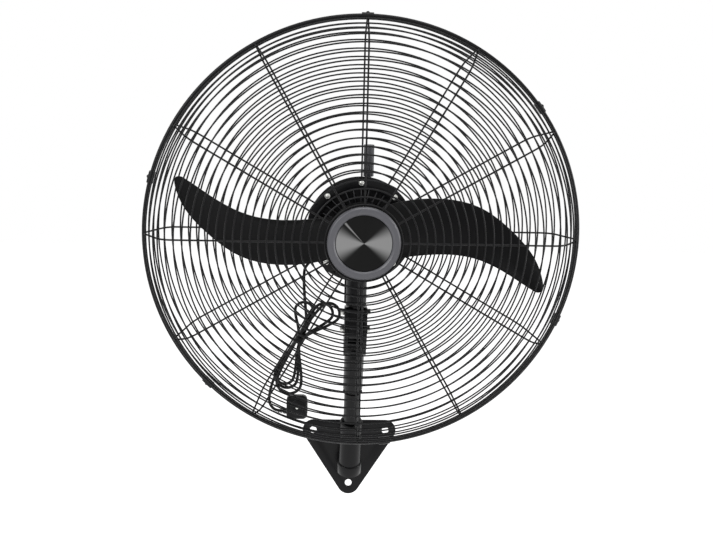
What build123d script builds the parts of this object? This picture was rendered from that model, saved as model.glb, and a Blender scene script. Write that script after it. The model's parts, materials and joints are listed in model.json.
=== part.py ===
"""Wall mounted fan: bracket, tilting neck, swinging guarded head, two-blade fan, oscillation drive, cord.

Millimetres. X to the right, -Y out of the wall, +Z up. The origin is on the wall plate's back face, on the
line of symmetry, between the upper screw holes and the lower one.
"""
import os
from math import asin, atan2, ceil, cos, degrees, pi, radians, sin, sqrt, tan

from build123d import *

os.makedirs("parts", exist_ok=True)

# Clearances
running_fit = 0.06       # radial, a shaft that turns in its bore
seat_fit = 0.2           # radial, a fixed piece in its seat
side_gap = 0.3           # between faces that move past each other
touch = 0.05             # between welded wires

# Where the main pivots lie
hinge_reach = 180        # wall face to the tilt hinge
hinge_height = 282       # origin to the tilt hinge
nose_down = 7            # lean of the head in the stored pose, degrees
head_rise = 208          # tilt hinge to the fan axis, along the swivel axis
rim_ahead = 156          # swivel axis to the rim plane, along the fan axis

# Wall plate
plate_t = 5
hole_spread = 148        # between the upper screw holes
top_hole_z = 48
bottom_hole_z = -62
screw_hole_r = 7
top_lobe_r = 21.5
bottom_lobe_r = 23

# Arm
foot_reach = 25          # wall face to the foot of the arm's axis
foot_z = -40
tube_r = 16
tube_wall = 2.5
tube_low = 20            # station along the arm's axis, from its foot, as are those below
boss_wall = 8.3          # metal round the tube: the foot boss, the stub above it, and the hinge's sleeve
boss_low = 12.5          # high enough to leave the lower wall screw free
boss_high = 34
stub_wall = 5.3
stub_high = 136
gusset_t = 8
gusset_low_at = 18       # stations where the gusset leaves the arm's axis
gusset_high_at = 128
sleeve_wall = 2.8
sleeve_len = 106
sleeve_slant = 14        # the sleeve's lower end is cut at a slant by this much

# Tilt hinge
knuckle_w = 28
knuckle_r = 20
ear_t = 7
ear_r = 22
saddle_inset = 2         # the saddle's radius is this much under the sleeve's
pivot_bolt_r = 5
lock_bolt_r = 4
lock_radius = 34         # tilt hinge to the lock bolt
lock_lobe_r = 11
tilt_up = 18             # range of the tilt, degrees
tilt_down = 12
bolt_head_t = 6.5
hex_ratio = 1.75         # a bolt head's corner radius to its shank's
bolt_end = 2             # threads past the nut
saddle_gap = 2
slot_spare = 1           # degrees of slot past each end of the tilt

# Swivel post and barrel
flange_h = 47            # heights above the tilt hinge, along the swivel axis
flange_t = 4
collar_h = 4             # round collar between the knuckle and the flange
strap_t = 2.5
washer_t = 1.5
post_r = 13
post_h = 118
barrel_r = 19.5
barrel_h = 132
swing_half = 40          # the head swings this far to each side, degrees

# Guards
guard_diameter = 760
hoop_wire = 7
ring_wire = 2.8
spoke_wire = 3.2
spokes = 12
front_depth = 60         # rim plane to the middle of the front spokes
rear_depth = 64
shoulder_r = 38          # bend between the flat face and the rim
ring_pitch = 14.2
front_ring_first = 79
rear_ring_gap = 11.4      # mount plate's edge to the first ring
shoulder_angles = (26, 52, 78)
flat_ring_sides = 18
bend_ring_sides = 24       # a multiple of the spokes, so that each spoke meets a corner
hoop_sides = 48

# Centre of the front guard
badge_r = 62.6
badge_disc_r = 48.4
badge_disc_t = 2.5
badge_floor_t = 2
badge_h = 9
badge_bevel = 3          # outer edge, and the slope down to the disc
badge_lip = 4            # ring between the slope and the disc's edge
hub_ring_r = 66
hub_plate_r = 60
hub_plate_t = 2
badge_screw_circle = 26
small_head_r = 3.8       # heads of the small screws
small_head_t = 2.5
front_spoke_in = 46

# Rear guard mount plate and the screws round the motor
guard_plate_in = 18      # widths in and out of the motor flange's edge
guard_plate_out = 3
guard_plate_t = 2
rear_spoke_lap = 5.5     # the rear spokes lie this far over the mount plate
cover_screw_in = 8       # screw circle, in from the flange's edge
cover_screw_head_r = 4.5
cover_screw_head_t = 3.5

# Motor
motor_r = 82.5
motor_wall = 3
flange_lip = 10.5        # the flange stands out of the motor's body by this much
motor_flange_t = 8
motor_split = 112        # distances behind the rim plane
motor_back = 160
cover_recess = 4
boss_bearing_r = 24
bearing_r = 17.5
bearing_w = 11
shaft_r = 7.5
stator_in = 46
stator_len = 40
stator_front = 95
winding_out = 72
winding_in = 50
winding_len = 12
air_gap = 0.5
vent_count = 16
vent_circle = 55         # middles of the vents
vent_len = 28
vent_w = 5
cover_rib_w = 2.2
cover_rib_drop = 0.8     # the ribs' tops lie below the rim round them
cover_nose = 7           # the bearing boss stands out of the flange by this much
cover_chamfer = 6
cover_floor = 4
shaft_gap = 1.5
worm_gap = 3.5
foot_rib_t = 8
foot_rib_low = 132       # fan axis down to the rib's foot on the barrel, and to its knee
foot_rib_knee = 100
bearing_front = 63       # front face of the front bearing, behind the rim plane
shaft_nose = 16          # the shaft's front end, ahead of the rim plane

# Blades
blade_middle = 17        # rim plane back to the blades' middle
blade_t = 2.6
blade_hub_r = 57
blade_hub_t = 8
blade_boss_t = 6         # the raised middle of the moulding
hub_insert_r = 36
hub_insert_t = 10
hub_flange_t = 4
hub_bush_r = 18
hub_end = 2              # the bush's front end, behind the rim plane
hub_nut_r = 14
hub_nut_t = 12

# Gear case and oscillation drive
case_left = 40
case_right = 43
case_half_h = 66
case_wall = 4
case_corner = 14
case_cover_t = 4
case_screw_inset = 11
spindle_boss_r = 8
spindle_boss_h = 3
gear_module = 1.3
tooth_rise = 0.8         # a tooth's height above and below the pitch circle, in modules
tooth_drop = 1.15
gear_room = 3            # crank gear's teeth to the case's cover, before rounding up
pinion_teeth = 10
crank_teeth = 30
wheel_teeth = 24
worm_r = 5.5
worm_offset = 19         # fan axis to the clutch spindle
crank_spacing = 52       # swivel axis to the crank axis
rocker_r = 31            # swivel axis to the link's fixed end
spindle_r = 4
knob_r = 9.75
knob_len = 59
knob_flutes = 12
knob_lift = 80           # fan axis to the underside of the clutch knob
knob_neck_r = 5.75
knob_seat = 24           # length of the spindle inside the knob
flute_r = 1.6
clutch_travel = 8
crank_shaft_r = 5
crank_boss_r = 9
crank_arm_t = 4
crank_pin_r = 3
pin_wall = 2             # metal round a pin's bore
gear_t = 6
wheel_t = 8

# Electrics and the speed knob
knob_spot = (-8, 34)     # fan axis to the switch
capacitor_w = 20
capacitor_h = 36
capacitor_t = 26
terminal_w = 20
terminal_h = 30
terminal_t = 14
switch_w = 26
switch_t = 20
switch_shaft_r = 3
dial_r = 14
dial_t = 14
dial_taper = 6
pointer_w = 4
pointer_h = 5

# Cord
cord_d = 5.6
cord_sides = 5
layer_pitch = 7          # between layers of the hank
pass_gap = 7             # between the two strands of a layer at the waist
gland_angle = radians(220)
gland_back = 136         # rim plane to the gland's middle
gland_len = 22
gland_nut_r = 10
gland_nut_t = 4
gland_r = 7.5
gland_taper = 11

# Plug
plug_w = 39
plug_h = 44
plug_t = 19
plug_corner = 9
plug_bevel = 3
boot_len = 5
boot_r = 5.5
pin_len = 19
pin_rise = 11            # plug's middle to the pins, across and up
earth_pin = (4, 8)
line_pin = (6.4, 4)

# ---------------------------------------------------------------- frames
lean = radians(nose_down)
up_dir = Vector(0, -sin(lean), cos(lean))
forward = Vector(0, -cos(lean), -sin(lean))
hinge_point = Vector(0, -hinge_reach, hinge_height)
neck = Plane(origin=hinge_point, x_dir=(1, 0, 0), z_dir=up_dir)
rim_centre = hinge_point + up_dir * head_rise + forward * rim_ahead
head = Plane(origin=rim_centre, x_dir=(1, 0, 0), z_dir=forward)
head_side = Plane(origin=rim_centre, x_dir=(1, 0, 0), z_dir=up_dir * -1)
fan_axis = Axis(rim_centre, forward)
rim_r = guard_diameter / 2
flange_r = motor_r + flange_lip
cover_screw_circle = flange_r - cover_screw_in
guard_plate_inner_r = flange_r - guard_plate_in
guard_plate_r = flange_r + guard_plate_out
rear_spoke_in = guard_plate_r - rear_spoke_lap
worm_back = rim_ahead + crank_spacing    # the worm's rear end, level with the crank's axis
foot_point = Vector(0, -foot_reach, foot_z)
arm_vector = hinge_point - foot_point
arm_length = arm_vector.length
arm = Plane(origin=foot_point, x_dir=(1, 0, 0), z_dir=arm_vector)
boss_r = tube_r + seat_fit + boss_wall
stub_r = tube_r + seat_fit + stub_wall
sleeve_r = tube_r + seat_fit + sleeve_wall
saddle_r = sleeve_r - saddle_inset
saddle_at = arm_length - knuckle_r - saddle_r - saddle_gap
tube_high = int(saddle_at)      # the tube is cut to a whole millimetre
sleeve_low = tube_high - sleeve_len


def keep(builder, name):
    """Label a finished piece and write it."""
    builder.part.label = name
    export_step(builder.part, f"parts/{name}.step")


def side_point(point):
    """A point on the plane of symmetry, as that plane's sketch coordinates."""
    return (point.Y, point.Z)


# ---------------------------------------------------------------- wall plate
top_holes = [(-hole_spread / 2, top_hole_z), (hole_spread / 2, top_hole_z)]
with BuildPart() as wall_plate:
    with BuildSketch(Plane.XZ):
        with Locations(*top_holes):
            Circle(top_lobe_r)
        with Locations((0, bottom_hole_z)):
            Circle(bottom_lobe_r)
        make_hull()
        with Locations(*top_holes, (0, bottom_hole_z)):
            Circle(screw_hole_r, mode=Mode.SUBTRACT)
    extrude(amount=plate_t)
keep(wall_plate, "wall_plate")

# ---------------------------------------------------------------- arm
gusset_top = arm.from_local_coords((0, 0, gusset_high_at))
gusset_low = arm.from_local_coords((0, 0, gusset_low_at))
with BuildPart() as arm_socket:
    with BuildSketch(arm.offset(boss_low)):
        Circle(boss_r)
    extrude(amount=boss_high - boss_low)
    with BuildSketch(arm.offset(boss_high)):
        Circle(stub_r)
    extrude(amount=stub_high - boss_high)
    with BuildSketch(Plane.YZ):
        with BuildLine():
            Polyline(
                (-plate_t, gusset_low.Z),
                (-plate_t, top_hole_z),
                side_point(gusset_top),
                side_point(gusset_low),
                close=True,
            )
        make_face()
    extrude(amount=gusset_t / 2, both=True)
    split(bisect_by=Plane.XZ.offset(plate_t), keep=Keep.TOP)
    with BuildSketch(arm.offset(tube_low)):
        Circle(tube_r + seat_fit)
    extrude(amount=stub_high - tube_low, mode=Mode.SUBTRACT)
keep(arm_socket, "arm_socket")

with BuildPart() as arm_tube:
    with BuildSketch(arm.offset(tube_low)):
        Circle(tube_r)
        Circle(tube_r - tube_wall, mode=Mode.SUBTRACT)
    extrude(amount=tube_high - tube_low)
keep(arm_tube, "arm_tube")

# ---------------------------------------------------------------- tilt hinge
ear_in = knuckle_w / 2 + side_gap
ear_out = ear_in + ear_t
lock_angle = 90 + nose_down
saddle_point = arm.from_local_coords((0, 0, saddle_at))
slot_ends = [
    (
        hinge_point.Y + lock_radius * cos(radians(a)),
        hinge_point.Z + lock_radius * sin(radians(a)),
    )
    for a in (lock_angle - tilt_up, lock_angle + tilt_down)
]
with BuildPart() as hinge_fork:
    with BuildSketch(Plane.YZ.offset(ear_in)):
        with Locations(side_point(hinge_point)):
            Circle(ear_r)
        with Locations(*slot_ends):
            Circle(lock_lobe_r)
        with Locations(side_point(saddle_point)):
            Circle(saddle_r)
        make_hull()
    extrude(amount=ear_t)
    mirror(about=Plane.YZ)
    with BuildSketch(arm.offset(sleeve_low)):
        Circle(sleeve_r)
    extrude(amount=tube_high - sleeve_low)
    with BuildSketch(Plane.YZ):
        with Locations(side_point(saddle_point)):
            Circle(saddle_r)
    extrude(amount=ear_in, both=True)
    with BuildSketch(arm.offset(sleeve_low)):
        Circle(tube_r + seat_fit)
    extrude(amount=tube_high - sleeve_low, mode=Mode.SUBTRACT)
    sleeve_cut = Plane(
        origin=arm.from_local_coords((0, 0, sleeve_low + sleeve_slant / 2)),
        x_dir=(1, 0, 0),
        z_dir=arm.z_dir.rotate(Axis.X, -degrees(atan2(sleeve_slant, 2 * sleeve_r))),
    )
    split(bisect_by=sleeve_cut, keep=Keep.TOP)
    with BuildSketch(Plane.YZ):
        with Locations(side_point(hinge_point)):
            Circle(pivot_bolt_r + running_fit)
    extrude(amount=ear_out, both=True, mode=Mode.SUBTRACT)
    with BuildSketch(Plane.YZ):
        with BuildLine() as lock_path:
            CenterArc(
                side_point(hinge_point),
                lock_radius,
                lock_angle - tilt_up - slot_spare,
                tilt_up + tilt_down + 2 * slot_spare,
            )
        SlotArc(arc=lock_path.wire(), height=2 * (lock_bolt_r + side_gap))
    extrude(amount=ear_out, both=True, mode=Mode.SUBTRACT)
keep(hinge_fork, "hinge_fork")

lock_point = hinge_point + up_dir * lock_radius
with BuildPart() as neck_knuckle:
    with BuildSketch(Plane.YZ):
        with Locations(side_point(hinge_point)):
            Circle(knuckle_r)
        with Locations(side_point(lock_point)):
            Circle(flange_h - lock_radius)
        make_hull()
    extrude(amount=knuckle_w / 2, both=True)
    with BuildSketch(neck.offset(flange_h - collar_h)):
        Circle(post_r)
    extrude(amount=collar_h)
    with BuildSketch(neck.offset(flange_h)):
        Circle(barrel_r)
    extrude(amount=flange_t)
    with BuildSketch(neck.offset(flange_h + flange_t)):
        Circle(post_r)
    extrude(amount=post_h - flange_h - flange_t)
    with BuildSketch(Plane.YZ):
        with Locations(side_point(hinge_point)):
            Circle(pivot_bolt_r + running_fit)
        with Locations(side_point(lock_point)):
            Circle(lock_bolt_r + running_fit)
    extrude(amount=knuckle_w, both=True, mode=Mode.SUBTRACT)
keep(neck_knuckle, "neck_knuckle")


def cross_bolt(point, shank_r, stand_off):
    """A hexagon bolt through the fork along X, its head on the right, with its nut on the left."""
    face = ear_out + stand_off
    with BuildPart() as bolt:
        with BuildSketch(Plane.YZ.offset(face)):
            with Locations(side_point(point)):
                RegularPolygon(shank_r * hex_ratio, 6)
        extrude(amount=bolt_head_t)
        with BuildSketch(Plane.YZ.offset(-face - bolt_head_t - bolt_end)):
            with Locations(side_point(point)):
                Circle(shank_r)
        extrude(amount=2 * face + bolt_head_t + bolt_end)
    with BuildPart() as nut:
        with BuildSketch(Plane.YZ.offset(-face - bolt_head_t)):
            with Locations(side_point(point)):
                RegularPolygon(shank_r * hex_ratio, 6)
                Circle(shank_r, mode=Mode.SUBTRACT)
        extrude(amount=bolt_head_t)
    return bolt, nut


tilt_bolt, tilt_nut = cross_bolt(hinge_point, pivot_bolt_r, 0)
keep(tilt_bolt, "tilt_bolt")
keep(tilt_nut, "tilt_nut")
lock_bolt, lock_nut = cross_bolt(lock_point, lock_bolt_r, side_gap)
keep(lock_bolt, "lock_bolt")
keep(lock_nut, "lock_nut")

# ---------------------------------------------------------------- link bracket and washer on the post
# The four-bar: the crank turns on the head, the link's far end stays on the neck. The rocker stands square to
# the link line in the middle of the swing.
rocker_angle = 180 - degrees(asin(rocker_r / crank_spacing))
link_far = sqrt(crank_spacing**2 + rocker_r**2 - 2 * crank_spacing * rocker_r
                * cos(radians(rocker_angle + swing_half - 90)))
link_near = sqrt(crank_spacing**2 + rocker_r**2 - 2 * crank_spacing * rocker_r
                 * cos(radians(rocker_angle - swing_half - 90)))
link_length = (link_far + link_near) / 2
crank_throw = (link_far - link_near) / 2
rocker_pin = Vector(rocker_r * cos(radians(rocker_angle)), rocker_r * sin(radians(rocker_angle)))
crank_centre = Vector(0, crank_spacing)
link_level = 118         # underside of the link, above the tilt hinge
link_t = 3
strap_in = barrel_r + 1.5
strap_w = 12
post_seat = flange_h + flange_t
with BuildPart() as link_bracket:
    with BuildSketch(neck.offset(post_seat)):
        Circle(barrel_r)
        with Locations(Location((0, 0, 0), (0, 0, rocker_angle))):
            Rectangle(strap_in + strap_t, strap_w, align=(Align.MIN, Align.CENTER))
        Circle(post_r + seat_fit, mode=Mode.SUBTRACT)
    extrude(amount=strap_t)
    with BuildSketch(neck.offset(post_seat + strap_t)):
        with Locations(Location((0, 0, 0), (0, 0, rocker_angle))):
            with Locations((strap_in, 0)):
                Rectangle(strap_t, strap_w, align=(Align.MIN, Align.CENTER))
    extrude(amount=link_level - side_gap - post_seat - strap_t)
    with BuildSketch(neck.offset(link_level - side_gap - strap_t)):
        with Locations(Location((0, 0, 0), (0, 0, rocker_angle))):
            with Locations((strap_in, 0)):
                Rectangle(rocker_r - strap_in, strap_w, align=(Align.MIN, Align.CENTER))
        with Locations(rocker_pin):
            Circle(strap_w / 2)
    extrude(amount=strap_t)
keep(link_bracket, "link_bracket")

with BuildPart() as neck_washer:
    with BuildSketch(neck.offset(post_seat + strap_t)):
        Circle(barrel_r)
        Circle(post_r + seat_fit, mode=Mode.SUBTRACT)
    extrude(amount=washer_t)
keep(neck_washer, "neck_washer")

# ---------------------------------------------------------------- motor
bearing_back = motor_back - cover_chamfer
plate_face = rear_depth + spoke_wire / 2
flange_face = plate_face + guard_plate_t
flange_back = flange_face + motor_flange_t
recess_face = flange_face + cover_recess
nose_face = flange_face - cover_nose
seat_r = bearing_r + touch
with BuildPart() as motor_front_cover:
    with BuildSketch(head_side):
        with BuildLine():
            Polyline(
                (seat_r, -flange_back),
                (seat_r, -bearing_front),
                (shaft_r + shaft_gap, -bearing_front),
                (shaft_r + shaft_gap, -nose_face),
                (boss_bearing_r, -nose_face),
                (boss_bearing_r, -recess_face),
                (guard_plate_inner_r, -recess_face),
                (guard_plate_inner_r, -flange_face),
                (flange_r, -flange_face),
                (flange_r, -flange_back),
                (motor_r, -flange_back),
                (motor_r, -motor_split),
                (motor_r - motor_wall, -motor_split),
                (motor_r - motor_wall, -flange_back),
                close=True,
            )
        make_face()
    revolve(axis=fan_axis)
    with BuildSketch(head.offset(-recess_face)):
        with PolarLocations((boss_bearing_r + guard_plate_inner_r) / 2, vent_count):
            Rectangle(guard_plate_inner_r - boss_bearing_r + 1, cover_rib_w)
    extrude(amount=cover_recess - cover_rib_drop)
    with BuildSketch(head.offset(-flange_back)):
        with PolarLocations(vent_circle, vent_count, start_angle=180 / vent_count):
            Rectangle(vent_len, vent_w)
    extrude(amount=motor_flange_t, mode=Mode.SUBTRACT)
keep(motor_front_cover, "motor_front_cover")

barrel_low = post_seat + strap_t + washer_t
rib_points = [
    (-motor_split - foot_rib_t / 2, -motor_r + 1),
    (-rim_ahead, -motor_r + 1),
    (-rim_ahead, -foot_rib_low),
    (-rim_ahead + barrel_r, -foot_rib_knee),
]
with BuildPart() as motor_rear_cover:
    with BuildSketch(head_side):
        with BuildLine():
            Polyline(
                (motor_r - motor_wall, -motor_split),
                (motor_r, -motor_split),
                (motor_r, -motor_back + cover_chamfer),
                (motor_r - cover_chamfer, -motor_back),
                (worm_r + worm_gap, -motor_back),
                (worm_r + worm_gap, -bearing_back),
                (seat_r, -bearing_back),
                (seat_r, -bearing_back + bearing_w),
                (boss_bearing_r, -bearing_back + bearing_w),
                (boss_bearing_r, -motor_back + cover_floor),
                (motor_r - motor_wall, -motor_back + cover_floor),
                close=True,
            )
        make_face()
    revolve(axis=fan_axis)
    with BuildSketch(Plane(origin=rim_centre, x_dir=forward, z_dir=forward.cross(up_dir))):
        with BuildLine():
            Polyline(*rib_points, close=True)
        make_face()
    extrude(amount=foot_rib_t / 2, both=True)
    with BuildSketch(neck.offset(barrel_low)):
        Circle(barrel_r)
    extrude(amount=barrel_h - barrel_low)
    with BuildSketch(neck.offset(barrel_low)):
        Circle(post_r + running_fit)
    extrude(amount=post_h + 2 - barrel_low, mode=Mode.SUBTRACT)
keep(motor_rear_cover, "motor_rear_cover")

for bearing_name, bearing_face in (
    ("front_bearing", bearing_front),
    ("rear_bearing", bearing_back - bearing_w),
):
    with BuildPart() as bearing:
        with BuildSketch(head.offset(-bearing_face)):
            Circle(bearing_r)
            Circle(shaft_r + running_fit, mode=Mode.SUBTRACT)
        extrude(amount=-bearing_w)
    keep(bearing, bearing_name)

with BuildPart() as stator_core:
    with BuildSketch(head.offset(-stator_front)):
        Circle(motor_r - motor_wall - seat_fit)
        Circle(stator_in, mode=Mode.SUBTRACT)
    extrude(amount=-stator_len)
keep(stator_core, "stator_core")

with BuildPart() as stator_winding:
    for winding_face in (stator_front - winding_len, stator_front + stator_len):
        with BuildSketch(head.offset(-winding_face)):
            Circle(winding_out)
            Circle(winding_in, mode=Mode.SUBTRACT)
        extrude(amount=-winding_len)
keep(stator_winding, "stator_winding")

with BuildPart() as rotor_core:
    with BuildSketch(head.offset(-stator_front)):
        Circle(stator_in - air_gap)
        Circle(shaft_r + touch, mode=Mode.SUBTRACT)
    extrude(amount=-stator_len)
keep(rotor_core, "rotor_core")

with BuildPart() as motor_shaft:
    with BuildSketch(head.offset(shaft_nose)):
        Circle(shaft_r)
    extrude(amount=-shaft_nose - bearing_back)
    with BuildSketch(head.offset(-bearing_back)):
        Circle(worm_r)
    extrude(amount=-worm_back + bearing_back)
keep(motor_shaft, "motor_shaft")


def cover_screws(first_angle):
    """Four screw heads on the ring round the motor, every quarter turn."""
    with BuildPart() as screws:
        with BuildSketch(head.offset(-plate_face)):
            with PolarLocations(cover_screw_circle, 4, start_angle=first_angle):
                RegularPolygon(cover_screw_head_r, 6)
        extrude(amount=cover_screw_head_t)
    return screws


keep(cover_screws(0), "guard_screws")
keep(cover_screws(45), "motor_screws")

# ---------------------------------------------------------------- guards
hoop_middle = rim_r - hoop_wire / 2
bend_centre = hoop_middle - shoulder_r


def guard_spokes(depth, inner_r, side):
    """Bent spokes from the guard's middle, over the shoulder, to the face of its hoop."""
    end = hoop_wire + touch
    with BuildPart() as spoke:
        with BuildSketch(Plane.XZ):
            with BuildLine():
                FilletPolyline(
                    (inner_r, side * depth),
                    (hoop_middle, side * depth),
                    (hoop_middle, side * end),
                    radius=shoulder_r,
                )
            trace(line_width=spoke_wire)
        extrude(amount=spoke_wire / 2, both=True)
    with BuildPart(head) as ring_of_spokes:
        with PolarLocations(0, spokes):
            add(spoke.part)
    return ring_of_spokes


def wire_rings(rings, side, sides):
    """Flat-sided wire rings: an entry is the wire's middle radius and its distance from the rim plane."""
    with BuildPart() as wires:
        for ring_r, distance in rings:
            with BuildSketch(head.offset(side * distance - ring_wire / 2)):
                RegularPolygon(ring_r + ring_wire / 2, sides)
                RegularPolygon(ring_r - ring_wire / 2, sides, mode=Mode.SUBTRACT)
            extrude(amount=ring_wire)
    return wires


def shoulder_seats(depth):
    """Middles of the rings that lie on the outside of the spokes' bend."""
    corner = spoke_wire / 2 * tan(pi / bend_ring_sides)
    seats = []
    for angle in shoulder_angles:
        s = sin(radians(angle))
        c = cos(radians(angle))
        out = shoulder_r + spoke_wire / 2 + ring_wire / 2 * (s + c) + touch
        seats.append((bend_centre + (out + corner) * s, depth - shoulder_r + out * c))
    return seats


def rim_hoop(side):
    """One of the two heavy hoops that meet at the rim."""
    with BuildPart() as hoop:
        with BuildSketch(head.offset(side * touch)):
            RegularPolygon(rim_r, hoop_sides)
            RegularPolygon(rim_r - hoop_wire, hoop_sides, mode=Mode.SUBTRACT)
        extrude(amount=side * (hoop_wire - touch))
    return hoop


for guard, side, depth, inner_r, first_r in (
    ("front", 1, front_depth, front_spoke_in, front_ring_first),
    ("rear", -1, rear_depth, rear_spoke_in, guard_plate_r + rear_ring_gap),
):
    ring_level = depth + spoke_wire / 2 + ring_wire / 2
    count = int((bend_centre - first_r) / ring_pitch) + 1
    flat_rings = [(first_r + k * ring_pitch, ring_level) for k in range(count)]
    if guard == "front":
        flat_rings.append((hub_ring_r, ring_level))
    keep(guard_spokes(depth, inner_r, side), f"{guard}_guard_spokes")
    keep(wire_rings(flat_rings, side, flat_ring_sides), f"{guard}_guard_rings")
    keep(wire_rings(shoulder_seats(depth), side, bend_ring_sides), f"{guard}_guard_shoulder_rings")
    keep(rim_hoop(side), f"{guard}_guard_rim")

with BuildPart() as rear_guard_plate:
    with BuildSketch(head.offset(-flange_face)):
        Circle(guard_plate_r)
        Circle(guard_plate_inner_r, mode=Mode.SUBTRACT)
    extrude(amount=guard_plate_t)
keep(rear_guard_plate, "rear_guard_plate")

# Centre of the front guard: the spokes' inner ends lie between the hub plate and the badge
spoke_front = front_depth + spoke_wire / 2
spoke_back = front_depth - spoke_wire / 2
with BuildPart() as front_guard_hub_plate:
    with BuildSketch(head.offset(spoke_back)):
        Circle(hub_plate_r)
    extrude(amount=-hub_plate_t)
keep(front_guard_hub_plate, "front_guard_hub_plate")

with BuildPart() as badge_bezel:
    with BuildSketch(head_side):
        with BuildLine():
            Polyline(
                (0, spoke_front),
                (badge_r, spoke_front),
                (badge_r, spoke_front + badge_h - badge_bevel),
                (badge_r - badge_bevel, spoke_front + badge_h),
                (badge_disc_r + badge_lip, spoke_front + badge_h),
                (badge_disc_r + seat_fit, spoke_front + badge_h - badge_bevel),
                (badge_disc_r + seat_fit, spoke_front + badge_floor_t),
                (0, spoke_front + badge_floor_t),
                close=True,
            )
        make_face()
    revolve(axis=fan_axis)
keep(badge_bezel, "badge_bezel")

with BuildPart() as badge_disc:
    with BuildSketch(head.offset(spoke_front + badge_floor_t)):
        Circle(badge_disc_r)
    extrude(amount=badge_disc_t)
keep(badge_disc, "badge_disc")

with BuildPart() as badge_screws:
    with BuildSketch(head.offset(spoke_back - hub_plate_t)):
        with PolarLocations(badge_screw_circle, 4, start_angle=45):
            RegularPolygon(small_head_r, 6)
    extrude(amount=-small_head_t)
keep(badge_screws, "badge_screws")

# Clips that hold the two hoops together; the upper one is notched for the spokes under it
clip_angles = (37.5, 90, 165, 225, 277.5, 337.5)
clip_len = 22
clip_wall = 2
clip_gap = 0.4
clip_sag = clip_len / 2 * tan(pi / hoop_sides)
clip_out = rim_r + clip_gap + clip_wall
clip_in = rim_r - hoop_wire - clip_sag - clip_gap - clip_wall
clip_half = hoop_wire + clip_gap + clip_wall
with BuildPart() as one_clip:
    with BuildSketch(Plane.XZ):
        with Locations(((clip_out + clip_in) / 2, 0)):
            Rectangle(clip_out - clip_in, 2 * clip_half)
            Rectangle(clip_out - clip_in - 2 * clip_wall, 2 * (clip_half - clip_wall), mode=Mode.SUBTRACT)
        with Locations((clip_in, 0)):
            Rectangle(2 * clip_wall + 1, hoop_wire, mode=Mode.SUBTRACT)
    extrude(amount=clip_len / 2, both=True)
with BuildPart(head) as rim_clips:
    for angle in clip_angles:
        with Locations(Location((0, 0, 0), (0, 0, angle))):
            add(one_clip.part)
    with BuildSketch(head.offset(-clip_half)):
        with Locations((0, hoop_middle)):
            Rectangle(spoke_wire + 2 * clip_gap, spoke_wire + 2 * clip_gap)
    extrude(amount=2 * clip_half, mode=Mode.SUBTRACT)
keep(rim_clips, "rim_clips")

with BuildPart() as one_clip_screw:
    with BuildSketch(Plane.YZ.offset(clip_out)):
        RegularPolygon(small_head_r, 6)
    extrude(amount=small_head_t)
with BuildPart(head) as rim_clip_screws:
    for angle in clip_angles:
        with Locations(Location((0, 0, 0), (0, 0, angle))):
            add(one_clip_screw.part)
keep(rim_clip_screws, "rim_clip_screws")

# ---------------------------------------------------------------- fan
# Right-hand blade seen from the front: its upper edge leads and lies further back, its lower edge trails.
# The outline is drawn for a hoop of that inner radius, and is stretched along the blade to suit another.
drawn_hoop_r = 373
stretch = (rim_r - hoop_wire) / drawn_hoop_r
leading_edge = [
    (x * stretch, y) for x, y in [(44, 48), (133, 62), (212, 47), (271, 5), (309, -38), (325, -78)]
]
trailing_edge = [
    (x * stretch, y) for x, y in [(309, -96), (252, -60), (192, -34), (133, -28), (44, -36)]
]
blade_tip = (322 * stretch, -97)
blade_stations = [
    (x * stretch, middle, pitch)
    for x, middle, pitch in [(40, 8, 36), (125, 17, 31), (205, 5, 27), (275, -36, 23), (345, -92, 20)]
]
slab_half = 66
blade_camber = 7


def blade_section(station, middle, pitch):
    """A cambered strip across the blade, square to X, with its upper edge set back by the pitch."""
    plane = Plane(
        origin=head.from_local_coords((station, middle, -blade_middle)),
        x_dir=up_dir,
        z_dir=(1, 0, 0),
    )
    c = cos(radians(pitch))
    s = sin(radians(pitch))
    top = Vector(slab_half * c, -slab_half * s)
    low = top * -1
    sag = Vector(-s, -c) * blade_camber
    skin = Vector(s, c) * blade_t
    with BuildSketch(plane) as section:
        with BuildLine():
            ThreePointArc(top, sag, low)
            Line(low, low + skin)
            ThreePointArc(low + skin, sag + skin, top + skin)
            Line(top + skin, top)
        make_face()
    return section.sketch


with BuildPart() as blade_slab:
    loft([blade_section(*station).face() for station in blade_stations])

with BuildPart() as blade_outline:
    with BuildSketch(head.offset(-blade_middle - slab_half)):
        with BuildLine():
            upper = Spline(*leading_edge)
            tip = Spline(leading_edge[-1], blade_tip, trailing_edge[0],
                         tangents=(upper % 1, Vector(-0.85, 0.5)))
            Spline(*trailing_edge, tangents=(Vector(-0.85, 0.5), Vector(-1, -0.1)))
            Line(trailing_edge[-1], leading_edge[0])
        make_face()
    extrude(amount=2 * slab_half)

with BuildPart() as fan_blade:
    add(blade_slab.part)
    add(blade_outline.part, mode=Mode.INTERSECT)
    add(fan_blade.part.rotate(fan_axis, 180))
    with BuildSketch(head_side):
        with BuildLine():
            Polyline(
                (0, -blade_middle - blade_hub_t),
                (blade_hub_r, -blade_middle - blade_hub_t),
                (blade_hub_r, -blade_middle),
                (hub_insert_r + 4, -blade_middle + blade_boss_t),
                (0, -blade_middle + blade_boss_t),
                close=True,
            )
        make_face()
    revolve(axis=fan_axis)
    with BuildSketch(head.offset(-blade_middle - slab_half)):
        Circle(hub_bush_r + seat_fit)
    extrude(amount=2 * slab_half, mode=Mode.SUBTRACT)
keep(fan_blade, "fan_blade")

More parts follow.
